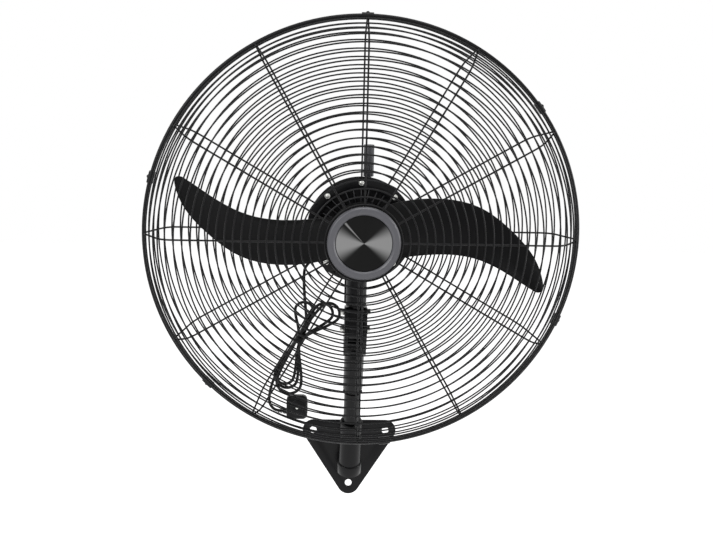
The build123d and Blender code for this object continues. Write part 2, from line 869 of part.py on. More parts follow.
hub_back = blade_middle + blade_hub_t
with BuildPart() as blade_hub:
    with BuildSketch(head_side):
        with BuildLine():
            Polyline(
                (shaft_r + touch, -hub_back - hub_insert_t),
                (hub_bush_r, -hub_back - hub_insert_t),
                (hub_bush_r, -hub_back - hub_flange_t),
                (hub_insert_r, -hub_back - hub_flange_t),
                (hub_insert_r, -hub_back),
                (hub_bush_r, -hub_back),
                (hub_bush_r, -hub_end),
                (shaft_r + touch, -hub_end),
                close=True,
            )
        make_face()
    revolve(axis=fan_axis)
keep(blade_hub, "blade_hub")

with BuildPart() as hub_screws:
    with BuildSketch(head.offset(-blade_middle + blade_boss_t)):
        with PolarLocations((hub_insert_r + hub_bush_r) / 2, 4):
            RegularPolygon(small_head_r, 6)
    extrude(amount=small_head_t)
keep(hub_screws, "hub_screws")

with BuildPart() as hub_nut:
    with BuildSketch(head.offset(-hub_end)):
        RegularPolygon(hub_nut_r, 6)
        Circle(shaft_r + touch, mode=Mode.SUBTRACT)
    extrude(amount=hub_nut_t)
keep(hub_nut, "hub_nut")

# ---------------------------------------------------------------- gear case
crank_tip_r = gear_module * (crank_teeth / 2 + tooth_rise)
case_depth = ceil(rim_ahead + crank_spacing + crank_tip_r + gear_room - motor_back)
case_w = case_left + case_right
case_mid = (case_right - case_left) / 2
case_back = motor_back + case_depth
crank_floor = head_rise - case_half_h
spindle_back = sqrt((gear_module * (pinion_teeth + crank_teeth) / 2) ** 2 - worm_offset**2)
spindle_point = (worm_offset, crank_spacing - spindle_back)
boss_top = head_rise + case_half_h + spindle_boss_h
crank_arm_level = link_level + link_t + side_gap
with BuildPart() as gear_case:
    with BuildSketch(head.offset(-motor_back)):
        with Locations((case_mid, 0)):
            RectangleRounded(case_w, 2 * case_half_h, case_corner)
    extrude(amount=-case_depth)
    with BuildSketch(head.offset(-case_back)):
        with Locations((case_mid, 0)):
            RectangleRounded(case_w - 2 * case_wall, 2 * (case_half_h - case_wall), case_corner - case_wall)
    extrude(amount=case_depth - case_wall, mode=Mode.SUBTRACT)
    with BuildSketch(neck.offset(crank_arm_level + crank_arm_t + side_gap)):
        with Locations(crank_centre):
            Circle(crank_boss_r)
    extrude(amount=crank_floor + case_wall - crank_arm_level - crank_arm_t - side_gap)
    with BuildSketch(neck.offset(crank_arm_level)):
        with Locations(crank_centre):
            Circle(crank_shaft_r + running_fit)
    extrude(amount=crank_floor + case_wall + 1 - crank_arm_level, mode=Mode.SUBTRACT)
    with BuildSketch(neck.offset(head_rise + case_half_h - case_wall)):
        with Locations(spindle_point):
            Circle(spindle_boss_r)
    extrude(amount=boss_top - head_rise - case_half_h + case_wall)
    with BuildSketch(neck.offset(head_rise + case_half_h - case_wall - 1)):
        with Locations(spindle_point):
            Circle(spindle_r + running_fit)
    extrude(amount=boss_top - head_rise - case_half_h + case_wall + 1, mode=Mode.SUBTRACT)
    with BuildSketch(head.offset(-motor_back)):
        Circle(worm_r + worm_gap)
    extrude(amount=-case_wall, mode=Mode.SUBTRACT)
keep(gear_case, "gear_case")

case_screw_spots = [
    (case_mid + sx * (case_w / 2 - case_screw_inset), sy * (case_half_h - case_screw_inset))
    for sx in (-1, 1)
    for sy in (-1, 1)
]
with BuildPart() as gear_case_cover:
    with BuildSketch(head.offset(-case_back)):
        with Locations((case_mid, 0)):
            RectangleRounded(case_w, 2 * case_half_h, case_corner)
        with Locations(knob_spot):
            Circle(switch_shaft_r + running_fit, mode=Mode.SUBTRACT)
    extrude(amount=-case_cover_t)
keep(gear_case_cover, "gear_case_cover")

with BuildPart() as case_screws:
    with BuildSketch(head.offset(-case_back - case_cover_t)):
        with Locations(*case_screw_spots):
            RegularPolygon(small_head_r, 6)
    extrude(amount=-small_head_t)
keep(case_screws, "case_screws")


def gear_face(teeth, module, turn):
    """A spur gear's outline with straight flanks; a tooth points along the given angle."""
    pitch_r = module * teeth / 2
    root_r = pitch_r - tooth_drop * module
    tip_r = pitch_r + tooth_rise * module
    pitch_angle = 360 / teeth
    points = []
    for k in range(teeth):
        middle = turn + k * pitch_angle
        for radius, share in ((root_r, -0.30), (tip_r, -0.11), (tip_r, 0.11), (root_r, 0.30)):
            angle = radians(middle + share * pitch_angle)
            points.append((radius * cos(angle), radius * sin(angle)))
    with BuildSketch() as face:
        with BuildLine():
            Polyline(*points, close=True)
        make_face()
    return face.sketch


mesh_angle = degrees(atan2(-spindle_back, worm_offset))
wheel_module = (2 * (worm_offset - worm_r - side_gap)) / (wheel_teeth + 2 * tooth_rise)
wheel_face = gear_face(wheel_teeth, wheel_module, 0)
pinion_face = gear_face(pinion_teeth, gear_module, mesh_angle + 180)
crank_face = gear_face(crank_teeth, gear_module, mesh_angle + 180 / crank_teeth)
with BuildPart() as worm_wheel:
    with BuildSketch(neck.offset(head_rise - wheel_t / 2)):
        with Locations(spindle_point):
            add(wheel_face)
            Circle(spindle_r + running_fit, mode=Mode.SUBTRACT)
    extrude(amount=wheel_t)
keep(worm_wheel, "worm_wheel")

gear_level = crank_floor + case_wall + 4
with BuildPart() as clutch_spindle:
    with BuildSketch(neck.offset(gear_level)):
        with Locations(spindle_point):
            add(pinion_face)
    extrude(amount=gear_t)
    with BuildSketch(neck.offset(gear_level - 3)):
        with Locations(spindle_point):
            Circle(spindle_r)
    extrude(amount=head_rise + knob_lift + knob_seat - gear_level + 3)
    with BuildSketch(neck.offset(head_rise - wheel_t / 2 - side_gap)):
        with Locations(spindle_point):
            Circle(spindle_r + 3)
    extrude(amount=-4)
keep(clutch_spindle, "clutch_spindle")

knob_level = head_rise + knob_lift
with BuildPart() as clutch_knob:
    with BuildSketch(neck.offset(knob_level)):
        with Locations(spindle_point):
            Circle(knob_r)
            with PolarLocations(knob_r + flute_r / 2, knob_flutes):
                Circle(flute_r, mode=Mode.SUBTRACT)
    extrude(amount=knob_len)
    with BuildSketch(neck.offset(boss_top + clutch_travel + side_gap)):
        with Locations(spindle_point):
            Circle(knob_neck_r)
    extrude(amount=knob_level - boss_top - clutch_travel - side_gap)
    with BuildSketch(neck.offset(boss_top + clutch_travel)):
        with Locations(spindle_point):
            Circle(spindle_r + running_fit)
    extrude(amount=knob_level + knob_seat + clutch_travel + 1 - boss_top - clutch_travel, mode=Mode.SUBTRACT)
keep(clutch_knob, "clutch_knob")

link_line = rocker_pin - crank_centre
link_span = link_line.length
crank_lead = degrees(
    pi / 2 - asin((link_span**2 + crank_throw**2 - link_length**2) / (2 * link_span * crank_throw))
)
crank_angle = degrees(atan2(link_line.Y, link_line.X)) - crank_lead
crank_pin = crank_centre + Vector(
    crank_throw * cos(radians(crank_angle)), crank_throw * sin(radians(crank_angle))
)
with BuildPart() as crank_gear:
    with BuildSketch(neck.offset(gear_level)):
        with Locations(crank_centre):
            add(crank_face)
    extrude(amount=gear_t)
    with BuildSketch(neck.offset(crank_arm_level)):
        with Locations(crank_centre):
            Circle(crank_shaft_r)
    extrude(amount=gear_level - crank_arm_level)
    with BuildSketch(neck.offset(crank_arm_level)):
        with Locations(crank_centre):
            Circle(crank_shaft_r + pin_wall)
        with Locations(crank_pin):
            Circle(crank_pin_r + pin_wall)
        make_hull()
    extrude(amount=crank_arm_t)
    with BuildSketch(neck.offset(crank_arm_level)):
        with Locations(crank_pin):
            Circle(crank_pin_r)
    extrude(amount=-link_t - side_gap)
keep(crank_gear, "crank_gear")

with BuildPart() as link_rod:
    with BuildSketch(neck.offset(link_level)):
        with Locations(crank_pin, rocker_pin):
            Circle(crank_pin_r + pin_wall)
        make_hull()
        with Locations(crank_pin):
            Circle(crank_pin_r + running_fit, mode=Mode.SUBTRACT)
    extrude(amount=link_t)
    with BuildSketch(neck.offset(link_level + link_t)):
        with Locations(rocker_pin):
            Circle(crank_pin_r)
    extrude(amount=pin_wall)
keep(link_rod, "link_rod")

# ---------------------------------------------------------------- electrics in the gear case, speed knob
with BuildPart() as capacitor:
    with BuildSketch(head.offset(-motor_back - case_wall - cover_chamfer)):
        with Locations((-case_left + case_wall + seat_fit + capacitor_w / 2, -capacitor_h / 3)):
            RectangleRounded(capacitor_w, capacitor_h, 3)
    extrude(amount=-capacitor_t)
keep(capacitor, "capacitor")

with BuildPart() as speed_switch:
    with BuildSketch(head.offset(-case_back)):
        with Locations(knob_spot):
            RectangleRounded(switch_w, switch_w, 2)
    extrude(amount=switch_t)
keep(speed_switch, "speed_switch")

with BuildPart() as terminal_block:
    with BuildSketch(head.offset(-motor_back - case_wall)):
        with Locations((-case_left + case_wall + terminal_w / 2 + 2, case_half_h - 26)):
            Rectangle(terminal_w, terminal_h)
    extrude(amount=-terminal_t)
keep(terminal_block, "terminal_block")

dial_face = case_back + case_cover_t + side_gap
with BuildPart() as speed_knob:
    with BuildSketch(head.offset(-dial_face)):
        with Locations(knob_spot):
            Circle(dial_r)
    extrude(amount=-dial_t, taper=dial_taper)
    with BuildSketch(head.offset(-dial_face)):
        with Locations(knob_spot):
            Circle(switch_shaft_r)
    extrude(amount=case_cover_t)
    with BuildSketch(head.offset(-dial_face - dial_t)):
        with Locations(knob_spot):
            Rectangle(pointer_w, 2 * dial_r - 3)
    extrude(amount=-pointer_h)
keep(speed_knob, "speed_knob")

# ---------------------------------------------------------------- cord
gland_dir = head.x_dir * cos(gland_angle) + head.y_dir * sin(gland_angle)
gland_foot = rim_centre + forward * -gland_back + gland_dir * motor_r
gland = Plane(origin=gland_foot, x_dir=forward, z_dir=gland_dir)
with BuildPart() as cord_gland:
    with BuildSketch(gland):
        Circle(gland_nut_r)
    extrude(amount=gland_nut_t)
    with BuildSketch(gland.offset(gland_nut_t)):
        Circle(gland_r)
    extrude(amount=gland_len - gland_nut_t, taper=gland_taper)
keep(cord_gland, "cord_gland")

hank_waist = Vector(-107, 0, 268)
hank_y = -222
waist_angle = 60
waist_dir = Vector(cos(radians(waist_angle)), 0, sin(radians(waist_angle)))
waist_side = Vector(sin(radians(waist_angle)), 0, -cos(radians(waist_angle)))
waist_run = 14
entry_layer = -0.6       # the strand that comes from above crosses the waist in front of the first layer
last_layer = 3


def layer(k):
    """The middle of a layer of the hank, counted from the front."""
    return Vector(0, hank_y + (k - 1.5) * layer_pitch, 0)


def waist_key(k, side, heading):
    """Where a strand crosses the waist: its place and its direction."""
    return (hank_waist + waist_side * (side * pass_gap / 2) + layer(k), waist_dir * heading)


def lobe_keys(k, angle, reach, half_w):
    """The two flanks of a lobe, counter-clockwise seen from the front."""
    out = Vector(cos(radians(angle)), 0, sin(radians(angle)))
    flank = Vector(-sin(radians(angle)), 0, cos(radians(angle)))
    centre = hank_waist + out * reach + layer(k)
    return [(centre + flank * -half_w, out), (centre + flank * half_w, out * -1)]


# Each turn is a lower lobe and an upper lobe: angle, distance to the lobe's centre, half width
lower_lobes = [(254, 76, 20), (251, 71, 18.5), (257, 78, 21)]
upper_lobes = [(44, 72, 18), (46, 65, 17), (80, 52, 17)]
waist_entry = waist_key(entry_layer, -1, -1)
hank_start = (waist_entry[0] + waist_dir * waist_run, waist_entry[1])
hank_keys = [hank_start, (hank_start[0] - waist_dir * cord_d, hank_start[1])]
for turn, (lower, upper) in enumerate(zip(lower_lobes, upper_lobes)):
    hank_keys.append(waist_key(turn, -1, -1) if turn else waist_entry)
    hank_keys += lobe_keys(turn, *lower)
    hank_keys.append(waist_key(turn, 1, 1))
    hank_keys += lobe_keys(turn, *upper)
hank_end = waist_key(last_layer, -1, -1)
hank_keys.append(hank_end)
hank_keys.append((hank_end[0] - waist_dir * (waist_run - cord_d), hank_end[1]))
hank_keys.append((hank_end[0] - waist_dir * waist_run, hank_end[1]))


def biarc(start, start_dir, end, end_dir):
    """Two tangent arcs, or one line, from one key to the next."""
    chord = end - start
    if chord.normalized().dot(start_dir) > 0.99999 and start_dir.dot(end_dir) > 0.99999:
        Line(start, end)
        return []
    both = start_dir + end_dir
    lead = 2 * (1 - start_dir.dot(end_dir))
    along = chord.dot(both)
    reach = chord.dot(chord)
    if lead < 1e-6:
        pull = reach / (4 * chord.dot(end_dir))
    else:
        pull = (sqrt(along**2 + lead * reach) - along) / lead
    joint = (start + start_dir * pull + end - end_dir * pull) / 2
    first = TangentArc(start, joint, tangent=start_dir)
    second = TangentArc(joint, end, tangent=first % 1)
    return [first.radius, second.radius]


with BuildPart() as cord_hank:
    with BuildLine() as hank_path:
        hank_radii = []
        for (p, d), (q, e) in zip(hank_keys, hank_keys[1:]):
            hank_radii += biarc(p, d, q, e)
    with BuildSketch(Plane(origin=hank_start[0], z_dir=hank_start[1])):
        RegularPolygon(cord_d / 2, cord_sides)
    sweep()
keep(cord_hank, "cord_hank")

hank_wire = hank_path.wire()
hank_length = hank_wire.length
steps = int(hank_length / 2.5)
trail = [hank_wire.position_at(i / steps) for i in range(steps + 1)]
step = hank_length / steps
skip = int(6 * cord_d / step)
least = min(
    (trail[i] - trail[j]).length for i in range(len(trail)) for j in range(i + skip, len(trail))
)
print(f"hank: length {hank_length:.0f}, least radius {min(hank_radii):.1f}, self gap {least - cord_d:.2f}")


def cord_tube(points):
    """A tube along straight runs joined by tangent arcs, each as large as its two runs allow."""
    runs = [b - a for a, b in zip(points, points[1:])]
    radii = []
    for before, after in zip(runs, runs[1:]):
        half_turn = radians(before.get_angle(after)) / 2
        radii.append(0.45 * min(before.length, after.length) / (sin(half_turn) / cos(half_turn)))
    with BuildPart() as tube:
        with BuildLine() as path:
            FilletPolyline(*points, radius=radii)
        with BuildSketch(Plane(origin=points[0], z_dir=runs[0])):
            RegularPolygon(cord_d / 2, cord_sides)
        sweep()
    length = path.wire().length
    section = cord_sides / 2 * (cord_d / 2) ** 2 * sin(2 * pi / cord_sides)
    ratio = tube.part.volume / (section * length)
    print(f"tube: length {length:.0f}, radii {[round(r) for r in radii]}, volume ratio {ratio:.3f}")
    return tube


gland_end = gland_foot + gland_dir * gland_len
drop_join = hank_start[0]
drop_points = [
    gland_end,
    gland_end + gland_dir * 22,
    Vector(-99.5, -222, 388),
    Vector(-98.5, -228, 362),
    Vector(-96.5, -233, 340),
    Vector(-94.5, -236, 320),
    drop_join + waist_dir * 20,
    drop_join,
]
keep(cord_tube(drop_points), "cord_drop")

plug_middle = Vector(-108.5, -221, 140)
plug_entry = plug_middle + Vector(-plug_w / 2 - boot_len, 0, -8)
tail_join = hank_end[0] - waist_dir * waist_run
tail_points = [
    tail_join,
    tail_join - waist_dir * 16,
    Vector(-138.5, -211.5, 221),
    Vector(-151.5, -212.5, 195),
    Vector(-159.5, -215, 169),
    plug_entry + Vector(-28, 3, 16.6),
    plug_entry + Vector(-22.4, 1.5, 6),
    plug_entry + Vector(-12, 0, 0),
    plug_entry,
]
keep(cord_tube(tail_points), "cord_tail")

tie_t = 1.2
tie_h = 9
tie_gap = 0.5
tie_w = pass_gap + cord_d + 2 * tie_gap
tie_d = (last_layer - entry_layer) * layer_pitch + cord_d + 2 * tie_gap
tie_middle = hank_waist + layer((last_layer + entry_layer) / 2)
tie_plane = Plane(origin=tie_middle - waist_dir * (tie_h / 2), x_dir=waist_side, z_dir=waist_dir)
with BuildPart() as cord_tie:
    with BuildSketch(tie_plane):
        RectangleRounded(tie_w + 2 * tie_t, tie_d + 2 * tie_t, 4)
        RectangleRounded(tie_w, tie_d, 4 - tie_t, mode=Mode.SUBTRACT)
    extrude(amount=tie_h)
keep(cord_tie, "cord_tie")

plug_face = Plane(origin=plug_middle + Vector(0, plug_t / 2, 0), x_dir=(1, 0, 0), z_dir=(0, -1, 0))
with BuildPart() as plug_body:
    with BuildSketch(plug_face):
        RectangleRounded(plug_w, plug_h, plug_corner)
    extrude(amount=plug_t)
    chamfer(plug_body.faces().sort_by(Axis.Y)[0].edges(), plug_bevel)
    with BuildSketch(Plane(origin=plug_entry, z_dir=(1, 0, 0))):
        Circle(boot_r)
    extrude(amount=boot_len + 2)
keep(plug_body, "plug_body")

with BuildPart() as plug_pins:
    with BuildSketch(plug_face):
        with Locations((0, pin_rise)):
            Rectangle(*earth_pin)
        with Locations((-pin_rise, -pin_rise), (pin_rise, -pin_rise)):
            Rectangle(*line_pin)
    extrude(amount=-pin_len)
keep(plug_pins, "plug_pins")
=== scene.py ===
"""Looks of a wall mounted fan: wire cage, two blades, tilting and swinging head, tube arm."""
import json
from math import acos, atan2, cos, hypot, pi, radians, sin

import bmesh
import bpy
from mathutils import Matrix, Quaternion, Vector

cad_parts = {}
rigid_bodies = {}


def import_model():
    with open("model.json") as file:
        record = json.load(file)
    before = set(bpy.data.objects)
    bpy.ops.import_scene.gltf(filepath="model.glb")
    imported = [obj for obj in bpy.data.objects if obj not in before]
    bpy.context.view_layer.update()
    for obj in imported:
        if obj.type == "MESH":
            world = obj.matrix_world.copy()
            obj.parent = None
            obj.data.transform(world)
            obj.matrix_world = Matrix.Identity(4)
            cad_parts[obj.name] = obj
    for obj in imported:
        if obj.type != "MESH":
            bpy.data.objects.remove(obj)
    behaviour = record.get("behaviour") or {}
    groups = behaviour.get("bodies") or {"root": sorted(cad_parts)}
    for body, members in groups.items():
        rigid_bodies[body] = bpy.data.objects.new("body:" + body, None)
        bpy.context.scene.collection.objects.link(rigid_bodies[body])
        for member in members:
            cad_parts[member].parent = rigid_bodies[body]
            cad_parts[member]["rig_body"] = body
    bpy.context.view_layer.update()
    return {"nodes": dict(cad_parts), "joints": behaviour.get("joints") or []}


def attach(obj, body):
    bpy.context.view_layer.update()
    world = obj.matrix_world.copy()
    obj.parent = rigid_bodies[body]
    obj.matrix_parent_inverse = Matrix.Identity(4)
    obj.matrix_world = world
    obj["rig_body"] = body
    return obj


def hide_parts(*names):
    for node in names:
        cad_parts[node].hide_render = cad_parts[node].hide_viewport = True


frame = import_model()
mm = 0.001

# ---------------------------------------------------------------- wall plate and arm
# A flat steel plate with three lobes for the wall screws, a socket with a gusset welded to it,
# and the steel tube welded into its mouth. All are sprayed with gloss black powder and baked.


def colour(code):
    """Linear colour of an sRGB hex value."""
    parts = [int(code[i:i + 2], 16) / 255 for i in (1, 3, 5)]
    return [p / 12.92 if p <= 0.04045 else ((p + 0.055) / 1.055) ** 2.4 for p in parts] + [1]


def add(tree, kind, links=None, **settings):
    """Adds a node. A link's value is a socket to join, or the value that the input takes."""
    node = tree.nodes.new(kind)
    for key, value in settings.items():
        setattr(node, key, value)
    for key, value in (links or {}).items():
        if isinstance(value, bpy.types.NodeSocket):
            tree.links.new(value, node.inputs[key])
        else:
            node.inputs[key].default_value = value
    return node


def finish(name, light, dark, grain, rough, bump, metallic=0.0, gloss=0.5):
    """A surface whose colour, roughness and height vary. Its grain and bump are in millimetres."""
    material = bpy.data.materials.new(name)
    material.use_nodes = True
    tree = material.node_tree
    shader = tree.nodes["Principled BSDF"]
    spot = add(tree, "ShaderNodeTexCoord").outputs["Object"]
    fine = add(tree, "ShaderNodeTexNoise", {0: spot, "Scale": 1 / (grain * mm), "Detail": 3})
    # Tone and roughness change slowly, in patches of about 80 mm
    wide = add(tree, "ShaderNodeTexNoise", {0: spot, "Scale": 12, "Detail": 2})
    mix = add(tree, "ShaderNodeMix", {"Factor": wide.outputs[0]}, data_type="RGBA")
    mix.inputs["A"].default_value = colour(dark)
    mix.inputs["B"].default_value = colour(light)
    patches = add(tree, "ShaderNodeMapRange", {
        "Value": wide.outputs[0], "From Min": 0.35, "From Max": 0.65,
        "To Min": rough * 0.85, "To Max": rough * 1.15})
    height = add(tree, "ShaderNodeBump", {
        "Height": fine.outputs[0], "Strength": 1.0, "Distance": bump * mm})
    tree.links.new(mix.outputs["Result"], shader.inputs["Base Color"])
    tree.links.new(patches.outputs[0], shader.inputs["Roughness"])
    tree.links.new(height.outputs[0], shader.inputs["Normal"])
    shader.inputs["Metallic"].default_value = metallic
    if not metallic:
        shader.inputs["Specular IOR Level"].default_value = gloss
    return material


# Baked polyester powder, deep black and softly glossy, with the shallow ripple of its flow
powder_coat = finish("gloss_black_powder_coat", "#0c0c0e", "#070708",
                     grain=2.2, rough=0.27, bump=0.012, gloss=0.16)


def link(name, data):
    """A new object of the scene."""
    thing = bpy.data.objects.new(name, data)
    bpy.context.scene.collection.objects.link(thing)
    return thing


def evaluated(work):
    """The plain mesh that a work object makes with its modifiers. The object is removed."""
    depsgraph = bpy.context.evaluated_depsgraph_get()
    mesh = bpy.data.meshes.new_from_object(work.evaluated_get(depsgraph), depsgraph=depsgraph)
    bpy.data.objects.remove(work)
    return mesh


def plain_mesh(shape, name):
    """Ends the work on a shape and returns its mesh."""
    mesh = bpy.data.meshes.new(name)
    shape.to_mesh(mesh)
    shape.free()
    return mesh


def smooth(mesh, crease=None):
    """Shades a mesh smooth, apart from the edges that bend by more than the crease's degrees."""
    for face in mesh.polygons:
        face.use_smooth = True
    if crease:
        mesh.set_sharp_from_angle(angle=radians(crease))
    return mesh


def place_piece(mesh, name, body, material):
    """Links a finished mesh as a piece that rides on a body."""
    piece = link(name, mesh)
    mesh.materials.clear()
    mesh.materials.append(material)
    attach(piece, body)
    return piece


def stand_in(mesh, name, node, material):
    """Places a finished mesh on a node's body and shows it instead of the node."""
    piece = place_piece(mesh, name, frame["nodes"][node]["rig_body"], material)
    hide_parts(node)
    return piece


def soften(node, edge, material, crease=32, segments=2):
    """The node's own shape with its sharp edges rounded by that many millimetres."""
    shape = bmesh.new()
    shape.from_mesh(frame["nodes"][node].data)
    bmesh.ops.remove_doubles(shape, verts=shape.verts, dist=0.01 * mm)
    bmesh.ops.dissolve_limit(shape, angle_limit=radians(1), verts=shape.verts, edges=shape.edges)
    work = link("work", plain_mesh(shape, node + "_merged"))
    bevel = work.modifiers.new("edge", "BEVEL")
    bevel.width = edge * mm
    bevel.segments = segments
    bevel.limit_method = "ANGLE"
    bevel.angle_limit = radians(crease)
    bevel.miter_outer = "MITER_ARC"
    return stand_in(smooth(evaluated(work), crease), node + "_finish", node, material)


soften("wall_plate", 1.2, powder_coat, segments=3)
soften("arm_socket", 1.5, powder_coat, segments=3)
soften("arm_tube", 0.4, powder_coat)

# The arm's axis runs from its foot near the plate to the hinge; stations start at the foot
joints = {joint["name"]: joint for joint in frame["joints"]}
side_dir = Vector((1, 0, 0))
foot_point = Vector((0, -25, -40)) * mm
hinge_point = Vector(joints["head_tilt"]["pos_m"])
arm_dir = (hinge_point - foot_point).normalized()
arm_up = arm_dir.cross(side_dir)
tube_radius = 16 * mm
stub_radius = 21.5 * mm
boss_top = 34 * mm
stub_top = 136 * mm


def geometry_tree(name, sockets):
    """A geometry tree, its group input and the identifiers of its inputs."""
    tree = bpy.data.node_groups.new(name, "GeometryNodeTree")
    tree.interface.new_socket("Geometry", in_out="INPUT", socket_type="NodeSocketGeometry")
    keys = {}
    for label, kind in sockets.items():
        socket = tree.interface.new_socket(label, in_out="INPUT", socket_type=kind)
        keys[label] = socket.identifier
    tree.interface.new_socket("Geometry", in_out="OUTPUT", socket_type="NodeSocketGeometry")
    return tree, add(tree, "NodeGroupInput"), keys


def grow(data, tree, keys, values, place=Matrix()):
    """Runs a geometry tree on a mesh or curve. Returns the plain mesh, moved to its place."""
    work = link("work", data)
    modifier = work.modifiers.new("grow", "NODES")
    modifier.node_group = tree
    for label, value in values.items():
        modifier[keys[label]] = value
    mesh = evaluated(work)
    mesh.transform(place)
    return smooth(mesh)


# A weld bead is a round run along a path, lumpy every 3 mm as its pool froze
bead, group, bead_keys = geometry_tree("weld_bead", {
    "Size": "NodeSocketFloat", "Material": "NodeSocketMaterial"})
steps = add(bead, "GeometryNodeResampleCurve", {
    "Curve": group.outputs["Geometry"], "Length": 1.2 * mm}, mode="LENGTH")
section = add(bead, "GeometryNodeCurvePrimitiveCircle", {"Resolution": 8})
bead.links.new(group.outputs["Size"], section.inputs["Radius"])
run = add(bead, "GeometryNodeCurveToMesh", {
    "Curve": steps.outputs[0], "Profile Curve": section.outputs[0], "Fill Caps": True})
lumps = add(bead, "ShaderNodeTexNoise", {"Scale": 1 / (3 * mm), "Detail": 1})
centred = add(bead, "ShaderNodeVectorMath", {
    0: lumps.outputs["Color"], 1: (0.5, 0.5, 0.5)}, operation="SUBTRACT")
shift = add(bead, "ShaderNodeVectorMath", {
    0: centred.outputs[0], "Scale": 1.5 * mm}, operation="SCALE")
uneven = add(bead, "GeometryNodeSetPosition", {
    "Geometry": run.outputs[0], "Offset": shift.outputs[0]})
solid = add(bead, "GeometryNodeRealizeInstances", {0: uneven.outputs[0]})
sprayed = add(bead, "GeometryNodeSetMaterial", {
    "Geometry": solid.outputs[0], "Material": group.outputs["Material"]})
add(bead, "NodeGroupOutput", {0: sprayed.outputs[0]})


def path_of(points, closed):
    """A curve of straight runs from point to point."""
    path = bpy.data.curves.new("path", "CURVE")
    path.dimensions = "3D"
    line = path.splines.new("POLY")
    line.points.add(len(points) - 1)
    for point, spot in zip(line.points, points):
        point.co = (*spot, 1)
    line.use_cyclic_u = closed
    return path


def weld(name, size, radius, station):
    """A weld bead of that size in millimetres round the arm's axis, in the gloss black powder coat.
    """
    turns = [2 * pi * k / 48 for k in range(48)]
    middle = foot_point + arm_dir * station
    path = path_of([middle + (side_dir * cos(a) + arm_up * sin(a)) * radius for a in turns], True)
    mesh = grow(path, bead, bead_keys, {"Size": size * mm, "Material": powder_coat})
    place_piece(mesh, name, "bracket", powder_coat)


# A bead's middle stands a little off the corner that it fills
weld("arm_welds", 2.2, stub_radius + 0.6 * mm, boss_top)
# The mouth of the stub is filled by a wider bead
weld("mouth_weld", 3.3, (tube_radius + stub_radius) / 2 + 0.4 * mm,
     stub_top + 0.2 * mm)

# ---------------------------------------------------------------- tilt hinge
# Cast fork with a sleeve over the tube, clamped by two zinc plated bolts: the lower is the pivot,
# the upper runs in the curved slot and locks the tilt.
soften("hinge_fork", 1.0, powder_coat)
sleeve_low = 212 * mm
weld("sleeve_weld", 1.6, tube_radius + 1.2 * mm, sleeve_low)

# Bright zinc plate over steel: a pale metal with a soft, uneven sheen
zinc_plate = finish("zinc_plated_steel", "#e0e0dc", "#c6c7c3",
                    grain=1.5, rough=0.26, bump=0.008, metallic=1.0)
for name in ("tilt_bolt", "tilt_nut", "lock_bolt", "lock_nut"):
    soften(name, 0.5, zinc_plate)

# ---------------------------------------------------------------- neck
# The knuckle between the ears carries the post that the head swings on, a washer, and the strap
# that holds the far end of the oscillation link.
soften("neck_knuckle", 0.8, powder_coat)
soften("neck_washer", 0.2, zinc_plate)
soften("link_bracket", 0.4, powder_coat)

# ---------------------------------------------------------------- motor
# Two cast aluminium covers sprayed satin black, round a laminated core and varnished windings,
# with two steel bearings. The front cover has vents and radial ribs inside its rim.

# The spray dries to a fine grain on the castings, which dulls its sheen
cast_paint = finish("satin_black_on_cast_aluminium", "#101012", "#0a0a0b",
                    grain=1.2, rough=0.4, bump=0.03, gloss=0.18)
soften("motor_front_cover", 0.6, cast_paint)
soften("motor_rear_cover", 1.0, cast_paint)

# The head leans, so its pieces are made upright round the Z axis, with the rim's plane at zero
# and the front towards +Z, and this matrix moves them out to the fan's axis
up_dir = Vector(joints["head_swing"]["axis"])
rim_centre = Vector(joints["fan_spin"]["pos_m"])
forward = Vector(joints["fan_spin"]["axis"])
head = Matrix.Translation(rim_centre) @ Matrix((side_dir, up_dir, forward)).transposed().to_4x4()

# Copies of one shape, turned round the Z axis
circle_of, group, circle_keys = geometry_tree("copies_round_an_axis", {
    "Count": "NodeSocketInt", "First": "NodeSocketFloat", "Material": "NodeSocketMaterial"})
stems = add(circle_of, "GeometryNodePoints", {"Count": group.outputs["Count"]})
order = add(circle_of, "GeometryNodeInputIndex")
pace = add(circle_of, "ShaderNodeMath", {0: 2 * pi, 1: group.outputs["Count"]}, operation="DIVIDE")
heading = add(circle_of, "ShaderNodeMath", {
    0: order.outputs[0], 1: pace.outputs[0], 2: group.outputs["First"]}, operation="MULTIPLY_ADD")
about = add(circle_of, "ShaderNodeCombineXYZ", {"Z": heading.outputs[0]})
copies = add(circle_of, "GeometryNodeInstanceOnPoints", {
    "Points": stems.outputs[0], "Instance": group.outputs["Geometry"],
    "Rotation": about.outputs[0]})
solid = add(circle_of, "GeometryNodeRealizeInstances", {0: copies.outputs[0]})
sprayed = add(circle_of, "GeometryNodeSetMaterial", {
    "Geometry": solid.outputs[0], "Material": group.outputs["Material"]})
add(circle_of, "NodeGroupOutput", {0: sprayed.outputs[0]})


def ring_of(mesh, count, first, material):
    """Copies of a mesh round the fan's axis, from that many degrees on."""
    values = {"Count": count, "First": radians(first), "Material": material}
    return grow(mesh, circle_of, circle_keys, values, head)


def fin(inner, outer, low, high, foot, crest):
    """A tapered rib along X: its ends, its foot and crest along Z, and their widths, all in mm."""
    end_lean = 0.6
    shape = bmesh.new()
    rows = []
    for z, width, lean in ((low, foot, 0), (high, crest, end_lean)):
        near, far, half = inner + lean, outer - lean, width / 2
        corners = ((near, -half, z), (far, -half, z), (far, half, z), (near, half, z))
        rows.append([shape.verts.new(Vector(corner) * mm) for corner in corners])
    shape.faces.new(rows[1])
    shape.faces.new(list(reversed(rows[0])))
    for k in range(4):
        n = (k + 1) % 4
        shape.faces.new((rows[0][k], rows[0][n], rows[1][n], rows[1][k]))
    bmesh.ops.bevel(shape, geom=list(shape.edges), offset=0.2 * mm, segments=1, affect="EDGES")
    return plain_mesh(shape, "fin")
